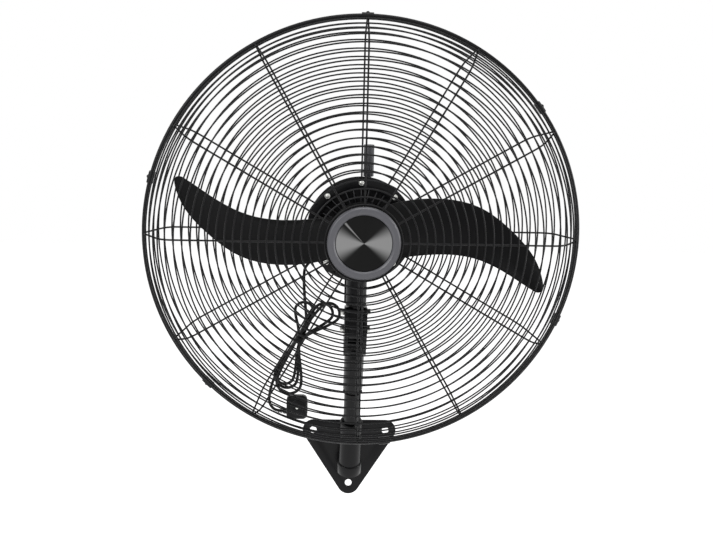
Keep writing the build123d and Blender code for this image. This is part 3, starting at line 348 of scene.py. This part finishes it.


# Thin radial ribs in the front cover's recess, one on each cast one and one as a bar across each
# vent. They are glossier than the cover, and a little lighter: a painted highlight for the light
# their crests catch.
# The lighter colour of the ribs is painted highlight
rib_paint_painted_highlight = finish("satin_black_ribs_painted_highlight", "#2e2e32", "#222225",
                      grain=1.2, rough=0.3, bump=0.02, gloss=0.5)
recess_floor = -72.4
recess_rib = fin(inner=38, outer=74.6, low=recess_floor, high=recess_floor + 4.5, foot=2, crest=1.3)
place_piece(ring_of(recess_rib, 32, 0, rib_paint_painted_highlight), "front_cover_fine_ribs", "head",
            rib_paint_painted_highlight)
# Shallow cooling ribs round the rear cover, stopping short of its edges
rear_cover_side = Matrix.Translation((82 * mm, 0, 0)) @ Matrix.Rotation(pi / 2, 4, "Y")
cooling_rib = fin(inner=113, outer=148, low=0, high=1.4, foot=2.2, crest=1.4)
cooling_rib.transform(rear_cover_side)
place_piece(ring_of(cooling_rib, 48, 3.75, cast_paint), "rear_cover_cooling_ribs", "head",
            cast_paint)

# Ground bearing steel, fine and bright
ground_steel = finish("ground_steel", "#a9abad", "#96999c",
                      grain=0.8, rough=0.25, bump=0.004, metallic=1.0)
soften("front_bearing", 0.3, ground_steel)
soften("rear_bearing", 0.3, ground_steel)
soften("motor_shaft", 0.4, ground_steel)

# Stacked electrical steel, blue grey and dull, and copper wire under dark insulating varnish
lamination = finish("stacked_lamination_steel", "#3c3f43", "#303236",
                    grain=0.5, rough=0.5, bump=0.02, metallic=1.0)
varnished_wire = finish("varnished_copper_winding", "#2b1d15", "#1c130e",
                        grain=0.9, rough=0.35, bump=0.15, gloss=0.3)
soften("stator_core", 0.3, lamination)
soften("rotor_core", 0.3, lamination)
soften("stator_winding", 2.0, varnished_wire, segments=3)


def turned(profile, steps):
    """A closed round solid. Its outline is (radius, height) in mm, from the axis to the axis."""
    shape = bmesh.new()
    rows = []
    for radius, height in profile:
        turns = [2 * pi * k / steps for k in range(steps)] if radius else [0]
        rows.append([shape.verts.new(Vector((radius * cos(a), radius * sin(a), height)) * mm)
                     for a in turns])
    for near, far in zip(rows, rows[1:]):
        for k in range(steps):
            n = (k + 1) % steps
            quad = [near[k % len(near)], far[k % len(far)], far[n % len(far)], near[n % len(near)]]
            shape.faces.new(list(dict.fromkeys(quad)))
    bmesh.ops.recalc_face_normals(shape, faces=shape.faces)
    return plain_mesh(shape, "turned")


def screw_head(radius, height, flange):
    """A domed head on its own washer, with a cross pressed into it, all in mm."""
    washer = 0.9
    brow = 0.25 * height       # where the dome meets its side
    dome = [(0, height)]
    dome += [(radius * sin(a), brow + (height - brow) * cos(a))
             for a in [radians(d) for d in (18, 36, 54, 72, 88)]]
    dome += [(radius, washer), (flange, washer), (flange, 0), (0, 0)]
    arm_long, arm_wide = radius * 1.15, radius * 0.24
    cross = bmesh.new()
    for turn in (0, pi / 2):
        block = (Matrix.Translation((0, 0, height * 1.05 * mm)) @ Matrix.Rotation(turn, 4, "Z")
                 @ Matrix.Diagonal((arm_long, arm_wide, height, 1)))
        bmesh.ops.create_cube(cross, size=mm, matrix=block)
    cutter = link("cutter", plain_mesh(cross, "cross"))
    work = link("work", turned(dome, 24))
    cut = work.modifiers.new("cross", "BOOLEAN")
    cut.object = cutter
    cut.use_self = True
    pressed = evaluated(work)
    bpy.data.objects.remove(cutter)
    return pressed


def screw_circle(node, size, first, radius, level, face=0):
    """Four screw heads round the fan's axis in place of a node's. A face of pi turns them back."""
    mesh = screw_head(*size)
    mesh.transform(Matrix.Translation((radius * mm, 0, level * mm)) @ Matrix.Rotation(face, 4, "X"))
    stand_in(smooth(ring_of(mesh, 4, first, zinc_plate), 35), node + "_heads", node, zinc_plate)


# Eight pan head screws, four through the guard's mount plate and four through the cover's flange
flange_screw = (4.1, 3.2, 5)
flange_screws_radius = 85
flange_level = -65.6
screw_circle("motor_screws", flange_screw, 45, flange_screws_radius, flange_level)
screw_circle("guard_screws", flange_screw, 0, flange_screws_radius, flange_level)

# ---------------------------------------------------------------- fan
# Two wide blades moulded in one with their hub, black and slightly waxy, clamped to a steel bush
# by screws and a large nut on the shaft.

# Polypropylene takes a dull, faintly rippled skin from the mould
blade_plastic = finish("moulded_black_polypropylene", "#0a0a0b", "#060607",
                       grain=6.0, rough=0.38, bump=0.02, gloss=0.1)
soften("fan_blade", 0.7, blade_plastic)
soften("blade_hub", 0.5, ground_steel)
soften("hub_screws", 0.5, zinc_plate)
soften("hub_nut", 0.8, zinc_plate)

# ---------------------------------------------------------------- guards
# Each half is hard drawn steel wire: concentric rings spot welded to twelve bent spokes and to a
# heavy hoop, then dipped in black epoxy. Past a flat face the spokes bend over and run down a
# steep shoulder to the hoops, which meet at the rim.

# The dip leaves a thin smooth coat with a narrow line of shine along each wire
wire_coat = finish("black_epoxy_on_wire", "#0f0f11", "#09090a",
                   grain=3.0, rough=0.34, bump=0.01, gloss=0.18)
rim_radius = 380 * mm
hoop_wire = 7 * mm
ring_wire = 2.8 * mm
spoke_wire = 3.2 * mm
weld_sink = 0.4 * mm      # how far a ring sinks into the spoke that it is welded to
hoop_middle = rim_radius - hoop_wire / 2
shoulder_start = 324 * mm
shoulder_bend = 32 * mm
# A spoke ends inside the hoop's wire, at this radius and distance from the rim's plane
spoke_end = (hoop_middle, 5 * mm)

# A hoop of round wire for each point, whose X is the hoop's radius and whose Z is its height
hoops, group, hoop_keys = geometry_tree("wire_hoops", {
    "Wire": "NodeSocketFloat", "Sides": "NodeSocketInt", "Steps": "NodeSocketInt",
    "Material": "NodeSocketMaterial"})
seat = add(hoops, "GeometryNodeInputPosition")
parts = add(hoops, "ShaderNodeSeparateXYZ", {0: seat.outputs[0]})
on_axis = add(hoops, "ShaderNodeCombineXYZ", {"Z": parts.outputs["Z"]})
size = add(hoops, "ShaderNodeCombineXYZ", {
    "X": parts.outputs["X"], "Y": parts.outputs["X"], "Z": 1.0})
keep_size = add(hoops, "GeometryNodeCaptureAttribute", {"Geometry": group.outputs["Geometry"]})
keep_size.capture_items.new("VECTOR", "size")
hoops.links.new(size.outputs[0], keep_size.inputs[1])
centres = add(hoops, "GeometryNodeSetPosition", {
    "Geometry": keep_size.outputs["Geometry"], "Position": on_axis.outputs[0]})
unit_ring = add(hoops, "GeometryNodeCurvePrimitiveCircle", {
    "Resolution": group.outputs["Steps"], "Radius": 1.0})
rings = add(hoops, "GeometryNodeInstanceOnPoints", {
    "Points": centres.outputs[0], "Instance": unit_ring.outputs[0],
    "Scale": keep_size.outputs[1]})
loose = add(hoops, "GeometryNodeRealizeInstances", {0: rings.outputs[0]})
section = add(hoops, "GeometryNodeCurvePrimitiveCircle", {"Resolution": group.outputs["Sides"]})
half = add(hoops, "ShaderNodeMath", {0: group.outputs["Wire"], 1: 0.5}, operation="MULTIPLY")
hoops.links.new(half.outputs[0], section.inputs["Radius"])
wire = add(hoops, "GeometryNodeCurveToMesh", {
    "Curve": loose.outputs[0], "Profile Curve": section.outputs[0]})
solid = add(hoops, "GeometryNodeRealizeInstances", {0: wire.outputs[0]})
dipped = add(hoops, "GeometryNodeSetMaterial", {
    "Geometry": solid.outputs[0], "Material": group.outputs["Material"]})
add(hoops, "NodeGroupOutput", {0: dipped.outputs[0]})


def hoop_set(name, node, seats, thickness, sides=8, steps=144):
    """Round wire hoops in place of a node's. A seat is a radius and a distance from the rim."""
    data = bpy.data.meshes.new("seats")
    data.from_pydata([(radius, 0, distance) for radius, distance in seats], [], [])
    values = {"Wire": thickness, "Sides": sides, "Steps": steps, "Material": wire_coat}
    stand_in(grow(data, hoops, hoop_keys, values, head), name, node, wire_coat)


# A spoke's bent path gets its round section, and is then copied round the axis
drawn_wire, group, wire_keys = geometry_tree("drawn_wire", {
    "Wire": "NodeSocketFloat", "Material": "NodeSocketMaterial"})
section = add(drawn_wire, "GeometryNodeCurvePrimitiveCircle", {"Resolution": 10})
half = add(drawn_wire, "ShaderNodeMath", {0: group.outputs["Wire"], 1: 0.5}, operation="MULTIPLY")
drawn_wire.links.new(half.outputs[0], section.inputs["Radius"])
wire = add(drawn_wire, "GeometryNodeCurveToMesh", {
    "Curve": group.outputs["Geometry"], "Profile Curve": section.outputs[0], "Fill Caps": True})
solid = add(drawn_wire, "GeometryNodeRealizeInstances", {0: wire.outputs[0]})
dipped = add(drawn_wire, "GeometryNodeSetMaterial", {
    "Geometry": solid.outputs[0], "Material": group.outputs["Material"]})
add(drawn_wire, "NodeGroupOutput", {0: dipped.outputs[0]})


def on_shoulder(run, depth, proud):
    """Radius and distance from the rim, a run past the flat face and proud of the spoke."""
    centre = (shoulder_start, depth - shoulder_bend)
    away = (spoke_end[0] - centre[0], spoke_end[1] - centre[1])
    slope = atan2(*away) - acos(shoulder_bend / hypot(*away))
    angle = min(run / shoulder_bend, slope)
    down = max(run - shoulder_bend * slope, 0)
    reach = shoulder_bend + proud
    return (centre[0] + reach * sin(angle) + down * cos(angle),
            centre[1] + reach * cos(angle) - down * sin(angle))


ring_pitch = 14.2 * mm
bend_step = 3 * mm
lowest_ring = 2 * hoop_wire
front_inner_ring = 66 * mm     # in front only, close round the hub plate
ring_rise = (spoke_wire + ring_wire) / 2 - weld_sink
for guard, side, depth, spoke_start, first_ring in (
    ("front", 1, 60 * mm, 46 * mm, 79 * mm),
    ("rear", -1, 64 * mm, 90.5 * mm, 107.4 * mm),
):
    node = f"{guard}_guard"
    bends = [on_shoulder(k * bend_step, depth, 0) for k in range(16)]
    path = path_of([(radius, 0, side * distance)
                    for radius, distance in [(spoke_start, depth)] + bends + [spoke_end]], False)
    spoke = grow(path, drawn_wire, wire_keys, {"Wire": spoke_wire, "Material": wire_coat})
    stand_in(ring_of(spoke, 12, 0, wire_coat), f"{guard}_spokes", f"{node}_spokes", wire_coat)

    # The rings lie outside the spokes, a pitch apart across the face and on down the shoulder
    radii = [front_inner_ring] if guard == "front" else []
    radius = first_ring
    while radius < shoulder_start:
        radii.append(radius)
        radius += ring_pitch
    seats = [(flat, depth + ring_rise) for flat in radii]
    run = radius - shoulder_start
    while on_shoulder(run, depth, 0)[1] > lowest_ring:
        seats.append(on_shoulder(run, depth, ring_rise))
        run += ring_pitch
    seats = [(radius, side * distance) for radius, distance in seats]
    # The first ring on the bend counts with the flat ones
    split = len(radii) + 1
    hoop_set(f"{guard}_rings", f"{node}_rings", seats[:split], ring_wire)
    hoop_set(f"{guard}_shoulder_rings", f"{node}_shoulder_rings", seats[split:], ring_wire)
    hoop_set(f"{guard}_hoop", f"{node}_rim", [(hoop_middle, side * hoop_wire / 2)], hoop_wire,
             sides=14, steps=180)

soften("rear_guard_plate", 0.4, wire_coat)
soften("front_guard_hub_plate", 0.4, wire_coat)

# ---------------------------------------------------------------- rim clips
# Six steel straps pressed round both hoops, each closed by a screw from outside, hold the guards
# together. They are dipped as the wire is.
clip_angles = (37.5, 90, 165, 225, 277.5, 337.5)
clip_length = 20 * mm
clip_slices = 5
# The strap's section is an oval round both hoops, once outside and once inside
halves = (((0, 30, 60, 90, 120, 150, 180), hoop_wire / 2),
          ((180.7, 210, 240, 270, 300, 330, 359.3), -hoop_wire / 2))
outline = [[(hoop_middle + reach * cos(radians(d)), reach * sin(radians(d)) + lift)
            for degrees, lift in halves for d in degrees]
           for reach in (5.5 * mm, 3.8 * mm)]
straps = bmesh.new()
for angle in clip_angles:
    slices = []
    for k in range(clip_slices):
        a = radians(angle) + (k / (clip_slices - 1) - 0.5) * clip_length / rim_radius
        slices.append([[straps.verts.new(head @ Vector((r * cos(a), r * sin(a), z)))
                        for r, z in loop] for loop in outline])
    corners = len(outline[0])
    for k in range(corners):
        n = (k + 1) % corners
        for near, far in zip(slices, slices[1:]):
            for loop in (0, 1):
                straps.faces.new((near[loop][k], near[loop][n], far[loop][n], far[loop][k]))
        for outer, inner in (slices[0], slices[-1]):
            straps.faces.new((outer[k], outer[n], inner[n], inner[k]))
bmesh.ops.recalc_face_normals(straps, faces=straps.faces)
stand_in(smooth(plain_mesh(straps, "straps"), 40), "rim_clips_finish", "rim_clips", wire_coat)


def screw_heads(size, places):
    """One mesh of screw heads, each on its place."""
    heads = bmesh.new()
    for place in places:
        one = screw_head(*size)
        one.transform(place)
        heads.from_mesh(one)
    return smooth(plain_mesh(heads, "screw_heads"), 35)


# Each screw goes in from outside, with its washer sunk a little into the strap
strap_face = Matrix.Translation((381.7 * mm, 0, 0)) @ Matrix.Rotation(pi / 2, 4, "Y")
clip_screws = screw_heads((2.6, 2.4, 3.2), [
    head @ Matrix.Rotation(radians(angle), 4, "Z") @ strap_face for angle in clip_angles])
stand_in(clip_screws, "rim_clip_screw_heads", "rim_clip_screws", wire_coat)

# ---------------------------------------------------------------- badge
# A moulded grey bezel round a plain disc of aluminium spun on a lathe, with two pale fans of
# painted highlight on it. Four screws clamp it and the hub plate on the spokes' inner ends.

# ABS from a polished mould is even and fairly glossy
bezel_plastic = finish("moulded_grey_abs", "#515156", "#49494e",
                       grain=1.5, rough=0.3, bump=0.01, gloss=0.45)
soften("badge_bezel", 0.8, bezel_plastic, segments=3)
badge_screws_radius = 26
hub_plate_back = 56.4
screw_circle("badge_screws", (3.1, 2.4, 3.8), 45, badge_screws_radius, hub_plate_back, face=pi)

# Spun aluminium, with a pair of pale fans of painted highlight and painted shade almost black
# between them, drawn in its colour on top of the fans that its gloss gives.
disc_radius = 48.4 * mm
disc_face = 66.1 * mm
spun_aluminium_painted_fans = bpy.data.materials.new("spun_aluminium_painted_fans")
spun_aluminium_painted_fans.use_nodes = True
tree = spun_aluminium_painted_fans.node_tree
shader = tree.nodes["Principled BSDF"]
shader.inputs["Metallic"].default_value = 1.0
shader.inputs["Roughness"].default_value = 0.3
shader.inputs["Anisotropic"].default_value = 0.85
lathe = add(tree, "ShaderNodeUVMap", uv_map="lathe")
sweep = add(tree, "ShaderNodeTangent", direction_type="UV_MAP", uv_map="lathe")
along = add(tree, "ShaderNodeSeparateXYZ", {0: lathe.outputs[0]})
# U runs once round from the right-hand side, counter-clockwise
# This ramp paints highlight and shade round the disc into its base colour
painted_fans = add(tree, "ShaderNodeValToRGB", {0: along.outputs["X"]})
painted_fans.color_ramp.interpolation = "EASE"
# Two equal painted highlights, right and left, fade over a tenth of a turn into painted shade, with
# a thin painted glint above the left
painted_highlight_grey, dark = colour("#7c7c7c"), colour("#1a1a1a")
ramp = painted_fans.color_ramp.elements
ramp[0].color = ramp[1].color = painted_highlight_grey
for part, shade in ((0.03, painted_highlight_grey), (0.13, dark), (0.36, dark), (0.37, painted_highlight_grey), (0.38, dark),
                    (0.47, painted_highlight_grey), (0.53, painted_highlight_grey), (0.63, dark), (0.87, dark), (0.97, painted_highlight_grey)):
    ramp.new(part).color = shade
tree.links.new(painted_fans.outputs[0], shader.inputs["Base Color"])
# The tool leaves a ring every 0.4 mm, drawn at 1.2 mm so that it shows
turns_out = add(tree, "ShaderNodeMath", {
    0: along.outputs["Y"], 1: 2 * pi * disc_radius / (1.2 * mm)}, operation="MULTIPLY")
groove = add(tree, "ShaderNodeMath", {0: turns_out.outputs[0]}, operation="SINE")
cut = add(tree, "ShaderNodeBump", {
    "Height": groove.outputs[0], "Strength": 0.35, "Distance": 0.01 * mm})
tree.links.new(cut.outputs[0], shader.inputs["Normal"])
tree.links.new(sweep.outputs[0], shader.inputs["Tangent"])

disc = bmesh.new()
lathe_map = disc.loops.layers.uv.new("lathe")
disc_steps = 96
disc_edge = 0.8 * mm
profile = [(2 * mm, disc_face), (disc_radius - disc_edge, disc_face),
           (disc_radius, disc_face - disc_edge), (disc_radius, disc_face - 2.5 * mm)]
turns = [2 * pi * k / disc_steps for k in range(disc_steps)]
rows = [[disc.verts.new((r * cos(a), r * sin(a), z)) for a in turns] for r, z in profile]
middle = disc.verts.new((0, 0, disc_face))
for k in range(disc_steps):
    n = (k + 1) % disc_steps
    for j, (near, far) in enumerate(zip(rows, rows[1:])):
        quad = disc.faces.new((near[k], far[k], far[n], near[n]))
        corners = ((k, j), (k, j + 1), (k + 1, j + 1), (k + 1, j))
        for loop, (u, v) in zip(quad.loops, corners):
            loop[lathe_map].uv = (u / disc_steps, profile[v][0] / disc_radius)
    wedge = disc.faces.new((rows[0][k], rows[0][n], middle))
    corners = ((k, profile[0][0]), (k + 1, profile[0][0]), (k + 0.5, 0))
    for loop, (u, v) in zip(wedge.loops, corners):
        loop[lathe_map].uv = (u / disc_steps, v / disc_radius)
disc.faces.new(list(reversed(rows[-1])))
mesh = plain_mesh(disc, "badge_disc_finish")
mesh.transform(head)
for face in mesh.polygons:
    face.use_smooth = len(face.vertices) < 5      # all but the flat back
mesh.set_sharp_from_angle(angle=radians(30))
stand_in(mesh, "badge_disc_finish", "badge_disc", spun_aluminium_painted_fans)

# ---------------------------------------------------------------- gear case and oscillation drive
# A cast case behind the motor, with the worm wheel, the crank gear and the link under it. The
# fluted knob on top is pushed down to make the head swing.
soften("gear_case", 1.5, cast_paint, segments=3)
soften("gear_case_cover", 1.0, cast_paint)
case_back = -236 * mm
face_back = Matrix.Rotation(pi, 4, "X")
case_screws = screw_heads((2.9, 2.4, 3.8), [
    head @ Matrix.Translation((x * mm, y * mm, case_back)) @ face_back
    for x in (-29, 32) for y in (-55, 55)])
stand_in(case_screws, "case_screw_heads", "case_screws", zinc_plate)

# Hobbed steel, clean but not polished, and nylon, which is a warm, waxy white
cut_steel = finish("cut_gear_steel", "#8f9092", "#7c7e80",
                   grain=0.6, rough=0.35, bump=0.006, metallic=1.0)
soften("clutch_spindle", 0.15, cut_steel)
soften("crank_gear", 0.15, cut_steel)
soften("link_rod", 0.4, zinc_plate)
moulded_nylon = finish("moulded_nylon", "#d8d2c2", "#cfc8b6",
                       grain=1.0, rough=0.5, bump=0.02)
soften("worm_wheel", 0.15, moulded_nylon)

# Grey and black phenolic resin, hard and smooth from the mould, and a duller grey resin
grey_phenolic = finish("moulded_grey_phenolic", "#444448", "#3b3b3f",
                       grain=1.0, rough=0.34, bump=0.01, gloss=0.4)
phenolic = finish("moulded_black_phenolic", "#151517", "#0e0e10",
                  grain=1.0, rough=0.28, bump=0.01, gloss=0.3)
soften("clutch_knob", 0.5, grey_phenolic)
soften("speed_knob", 0.6, phenolic)
grey_resin = finish("moulded_grey_resin", "#7d7f82", "#6f7174",
                    grain=1.0, rough=0.5, bump=0.02)
soften("speed_switch", 0.5, grey_resin)
soften("capacitor", 1.0, grey_resin)
soften("terminal_block", 0.5, moulded_nylon)

# The dial round the speed knob: four numbers pad printed on the cover, with a mark beside each.
# The ink is a flat white.
white_ink = finish("pad_printed_white_ink", "#d9d9d6", "#c9c9c6",
                   grain=0.5, rough=0.6, bump=0.01, gloss=0.3)
dial_middle = (-8 * mm, 34 * mm)
numbers_radius = 20.8 * mm
ink_lift = 0.05 * mm
dial = bmesh.new()
# The knob turns an eighth of a turn to each number. Seen from behind, the head's X runs left.
for number, angle in enumerate((90, 135, 180, 225)):
    label = bpy.data.curves.new("number", "FONT")
    label.body = str(number)
    label.size = 5.2 * mm
    label.align_x = "CENTER"
    label.align_y = "CENTER"
    label.extrude = 0.1 * mm
    label.resolution_u = 4
    figure = evaluated(link("number", label))
    figure.transform(head @ Matrix.Translation((
        dial_middle[0] + numbers_radius * cos(radians(angle)),
        dial_middle[1] + numbers_radius * sin(radians(angle)),
        case_back - ink_lift)) @ Matrix.Rotation(pi, 4, "Y"))
    dial.from_mesh(figure)
    mark = fin(inner=15.6, outer=18.2, low=0, high=0.15, foot=0.7, crest=0.6)
    mark.transform(head @ Matrix.Translation((*dial_middle, case_back))
                   @ Matrix.Rotation(radians(angle), 4, "Z") @ face_back)
    dial.from_mesh(mark)
place_piece(plain_mesh(dial, "dial_numbers"), "dial_numbers", "head", white_ink)

# ---------------------------------------------------------------- cord
# Round two-core flex in a black PVC sheath. It leaves the motor through a gland, is folded into a
# hank held by a tie, and ends in a moulded plug.

# Soft PVC is dull, with a faint sheen
pvc_sheath = finish("black_pvc_sheath", "#0c0c0e", "#070708",
                    grain=1.2, rough=0.42, bump=0.02, gloss=0.2)
cord_thickness = 5.6 * mm
layer_pitch = 7 * mm
middle_layer = 1.5
pass_gap = 7 * mm
gland_angle = radians(220)
gland_behind_rim = 136
motor_radius = 82.5
gland_long = 22
gland_dir = side_dir * cos(gland_angle) + up_dir * sin(gland_angle)
gland_reach = gland_dir * (motor_radius + gland_long) * mm
gland_end = rim_centre - forward * gland_behind_rim * mm + gland_reach
hank_waist = Vector((-107, -222, 268)) * mm
hank_lean = radians(60)
waist_dir = Vector((cos(hank_lean), 0, sin(hank_lean)))
waist_side = Vector((sin(hank_lean), 0, -cos(hank_lean)))


def crossing(layer, side, run):
    """A point on a strand near the waist, that far above the tie in mm."""
    back = Vector((0, (layer - middle_layer) * layer_pitch, 0))
    return hank_waist + back + waist_side * (side * pass_gap / 2) + waist_dir * (run * mm)


def lobe(layer, angle, reach, half_width):
    """Five points round the end of a loop, counter-clockwise seen from the front, sized in mm."""
    outward = Vector((cos(radians(angle)), 0, sin(radians(angle))))
    flank = Vector((-sin(radians(angle)), 0, cos(radians(angle))))
    back = Vector((0, (layer - middle_layer) * layer_pitch, 0))
    centre = hank_waist + back + outward * (reach * mm)
    radius = half_width * mm / cos(pi / 8)
    return [centre + (outward * cos(a) + flank * sin(a)) * radius
            for a in [k * pi / 4 for k in range(-2, 3)]]


# From the gland down in front of the hank to its tie, through its three turns and to the plug
first_layer = -0.6
route = [
    gland_end,
    gland_end + gland_dir * 22 * mm,
    Vector((-99.5, -222, 388)) * mm,
    Vector((-98.5, -228, 362)) * mm,
    Vector((-96.5, -233, 340)) * mm,
    Vector((-94.5, -236, 320)) * mm,
    crossing(first_layer, -1, 34),
]
# Each end of a turn: its direction in degrees, its reach from the tie and its half width
lower_lobes = [(258, 79, 23.5), (249, 70, 18.5), (254, 75, 20.5)]
upper_lobes = [(42, 74, 19.5), (48, 66, 18), (80, 52, 17.5)]
for layer, (lower, upper) in enumerate(zip(lower_lobes, upper_lobes)):
    above = layer if layer else first_layer
    route += [crossing(above, -1, 10), crossing(above, -1, -10)]
    route += lobe(layer, *lower)
    route += [crossing(layer, 1, -10), crossing(layer, 1, 10)]
    route += lobe(layer, *upper)
plug_middle = Vector((-108.5, -221, 140)) * mm
plug_half_width = 19.5
boot_long = 5
plug_entry = plug_middle + Vector((-plug_half_width - boot_long, 0, -8)) * mm
route += [
    crossing(3, -1, 10),
    crossing(3, -1, -10),
    crossing(3, -1, -30),
    Vector((-138.5, -211.5, 221)) * mm,
    Vector((-151.5, -212.5, 195)) * mm,
    Vector((-159.5, -215, 169)) * mm,
    plug_entry + Vector((-28, 3, 16.6)) * mm,
    plug_entry + Vector((-22.4, 1.5, 6)) * mm,
    plug_entry + Vector((-12, 0, 0)) * mm,
    plug_entry,
]
flex = bpy.data.curves.new("mains_cord", "CURVE")
flex.dimensions = "3D"
flex.resolution_u = 6
flex.bevel_depth = cord_thickness / 2
flex.bevel_resolution = 3
flex.use_fill_caps = True
line = flex.splines.new("NURBS")
line.points.add(len(route) - 1)
for point, spot in zip(line.points, route):
    point.co = (*spot, 1)
line.order_u = 3
line.use_endpoint_u = True
cord = link("mains_cord", flex)
flex.materials.append(pvc_sheath)
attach(cord, "head")
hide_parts("cord_drop", "cord_hank", "cord_tail")

soften("cord_gland", 0.8, phenolic)
tie = soften("cord_tie", 0.4, pvc_sheath)
# The plug is moulded with a raised oval on its face, finger grips on its flanks and a ribbed boot
plug = soften("plug_body", 1.2, pvc_sheath, segments=3)
pins = soften("plug_pins", 0.6, zinc_plate)
face_front = Matrix.Rotation(pi / 2, 4, "X")
quarter_turn = Matrix.Rotation(pi / 2, 4, "Z")
grip_marks = bmesh.new()
oval = turned([(0, 2.1), (10.4, 2.1), (11.4, 1.8), (12, 1.2), (12, -1), (0, -1)], 40)
oval.transform(Matrix.Translation(plug_middle + Vector((0, -9.5, 0)) * mm) @ face_front
               @ Matrix.Diagonal((1.0, 1.25, 1.0, 1.0)))
grip_marks.from_mesh(oval)
ridges_a_side = 6
ridge_pitch = 4
plug_top = 22
stations = [ridge_pitch * (k - (ridges_a_side - 1) / 2) for k in range(ridges_a_side)]
ridge_spots = [((run, 0, plug_top), quarter_turn) for run in stations]
ridge_spots += [((plug_half_width, 0, run), quarter_turn @ Matrix.Rotation(-pi / 2, 4, "X"))
                for run in stations]
for spot, lie in ridge_spots:
    ridge = fin(inner=-6.5, outer=6.5, low=-0.5, high=0.7, foot=1.6, crest=1)
    ridge.transform(Matrix.Translation(plug_middle + Vector(spot) * mm) @ lie)
    grip_marks.from_mesh(ridge)
# Four collars that get smaller along the boot
for k in range(4):
    waist, crown = 4.4 - 0.35 * k, 4.8 - 0.35 * k
    collar = turned([(0, 0.9), (waist, 0.9), (crown, 0.4), (crown, -0.4), (waist, -0.9), (0, -0.9)],
                    24)
    collar.transform(Matrix.Translation(plug_entry + Vector((-1.2 - 2.8 * k, 0, 0)) * mm)
                     @ Matrix.Rotation(pi / 2, 4, "Y"))
    grip_marks.from_mesh(collar)
grips = place_piece(smooth(plain_mesh(grip_marks, "plug_grips"), 35), "plug_grips", "head",
                    pvc_sheath)
oval_face = plug_middle + Vector((0, -11.55, 0)) * mm
plug_screw = place_piece(
    screw_heads((2.4, 1.6, 2.8), [Matrix.Translation(oval_face) @ face_front]),
    "plug_screw", "head", zinc_plate)

# ---------------------------------------------------------------- floor, light and camera
# A white floor well below the bracket that only shows the object's shadow, even light from all
# sides, a large soft lamp on the left and a narrow one on the right.
floor_reach = 12
floor_level = -0.45
corners = ((-1, -1), (1, -1), (1, 1), (-1, 1))
floor_mesh = bpy.data.meshes.new("floor")
floor_mesh.from_pydata([(x * floor_reach, y * floor_reach, floor_level) for x, y in corners],
                       [], [(0, 1, 2, 3)])
floor = link("floor", floor_mesh)


def seen_rays(tree):
    """One for what the camera sees, straight or in a reflection or through glass, or else zero."""
    rays = add(tree, "ShaderNodeLightPath")
    mirrored = add(tree, "ShaderNodeMath", {
        0: rays.outputs["Is Camera Ray"], 1: rays.outputs["Is Glossy Ray"]}, operation="MAXIMUM")
    seen = add(tree, "ShaderNodeMath", {
        0: mirrored.outputs[0], 1: rays.outputs["Is Transmission Ray"]}, operation="MAXIMUM")
    return seen.outputs[0]


# White to the camera and in reflections; the board under that white still takes the shadow
white_floor = bpy.data.materials.new("matt_white_board")
white_floor.use_nodes = True
tree = white_floor.node_tree
tree.nodes.clear()
glow = add(tree, "ShaderNodeMath", {0: seen_rays(tree), 1: 0.7}, operation="MULTIPLY")
board = add(tree, "ShaderNodeBsdfDiffuse", {"Color": colour("#f4f4f4")})
shine = add(tree, "ShaderNodeEmission", {"Color": colour("#ffffff"), "Strength": glow.outputs[0]})
both = add(tree, "ShaderNodeAddShader", {0: board.outputs[0], 1: shine.outputs[0]})
add(tree, "ShaderNodeOutputMaterial", {0: both.outputs[0]})
floor_mesh.materials.append(white_floor)

world = bpy.data.worlds.new("studio")
bpy.context.scene.world = world
world.use_nodes = True
sky = world.node_tree
sky.nodes.clear()
even = add(sky, "ShaderNodeBackground", {"Color": colour("#ffffff"), "Strength": 0.45})
white = add(sky, "ShaderNodeBackground", {"Color": colour("#ffffff"), "Strength": 1.0})
either = add(sky, "ShaderNodeMixShader", {
    0: seen_rays(sky), 1: even.outputs[0], 2: white.outputs[0]})
add(sky, "ShaderNodeOutputWorld", {0: either.outputs[0]})


def lamp(name, place, size, power):
    """A soft rectangular lamp that faces the rim's centre."""
    light = bpy.data.lights.new(name, "AREA")
    light.shape = "RECTANGLE"
    light.size, light.size_y = size
    light.energy = power
    thing = link(name, light)
    thing.location = place
    thing.rotation_mode = "QUATERNION"
    thing.rotation_quaternion = (rim_centre - Vector(place)).to_track_quat("-Z", "Y")


lamp("key", (-2.2, -2.6, 1.6), (1.4, 2.2), 55)
lamp("edge", (2.6, -0.8, 0.9), (0.35, 2.2), 30)
lamp("top", (0.2, -1.2, 2.8), (2.0, 1.2), 25)

# The camera stands a little to the left and above the fan's axis, and looks past the rim's centre
azimuth = radians(-2.8)
elevation = radians(5.05)
roll = radians(1.1)             # the picture is turned clockwise
distance = 2.138
aside = 0.0088
under = 0.0540
image_width = 713
focal_pixels = 1230
back = Vector((sin(azimuth) * cos(elevation), -cos(azimuth) * cos(elevation), sin(elevation)))
camera_data = bpy.data.cameras.new("camera")
camera = link("camera", camera_data)
camera_data.sensor_width = 36
camera_data.lens = 36 * focal_pixels / image_width
upright = (-back).to_track_quat("-Z", "Y")
camera_right = upright @ Vector((1, 0, 0))
camera_up = upright @ Vector((0, 1, 0))
camera.location = rim_centre + back * distance - camera_right * aside - camera_up * under
camera.rotation_mode = "QUATERNION"
camera.rotation_quaternion = upright @ Quaternion((0, 0, 1), roll)
bpy.context.scene.camera = camera
bpy.context.scene.view_settings.view_transform = "Standard"
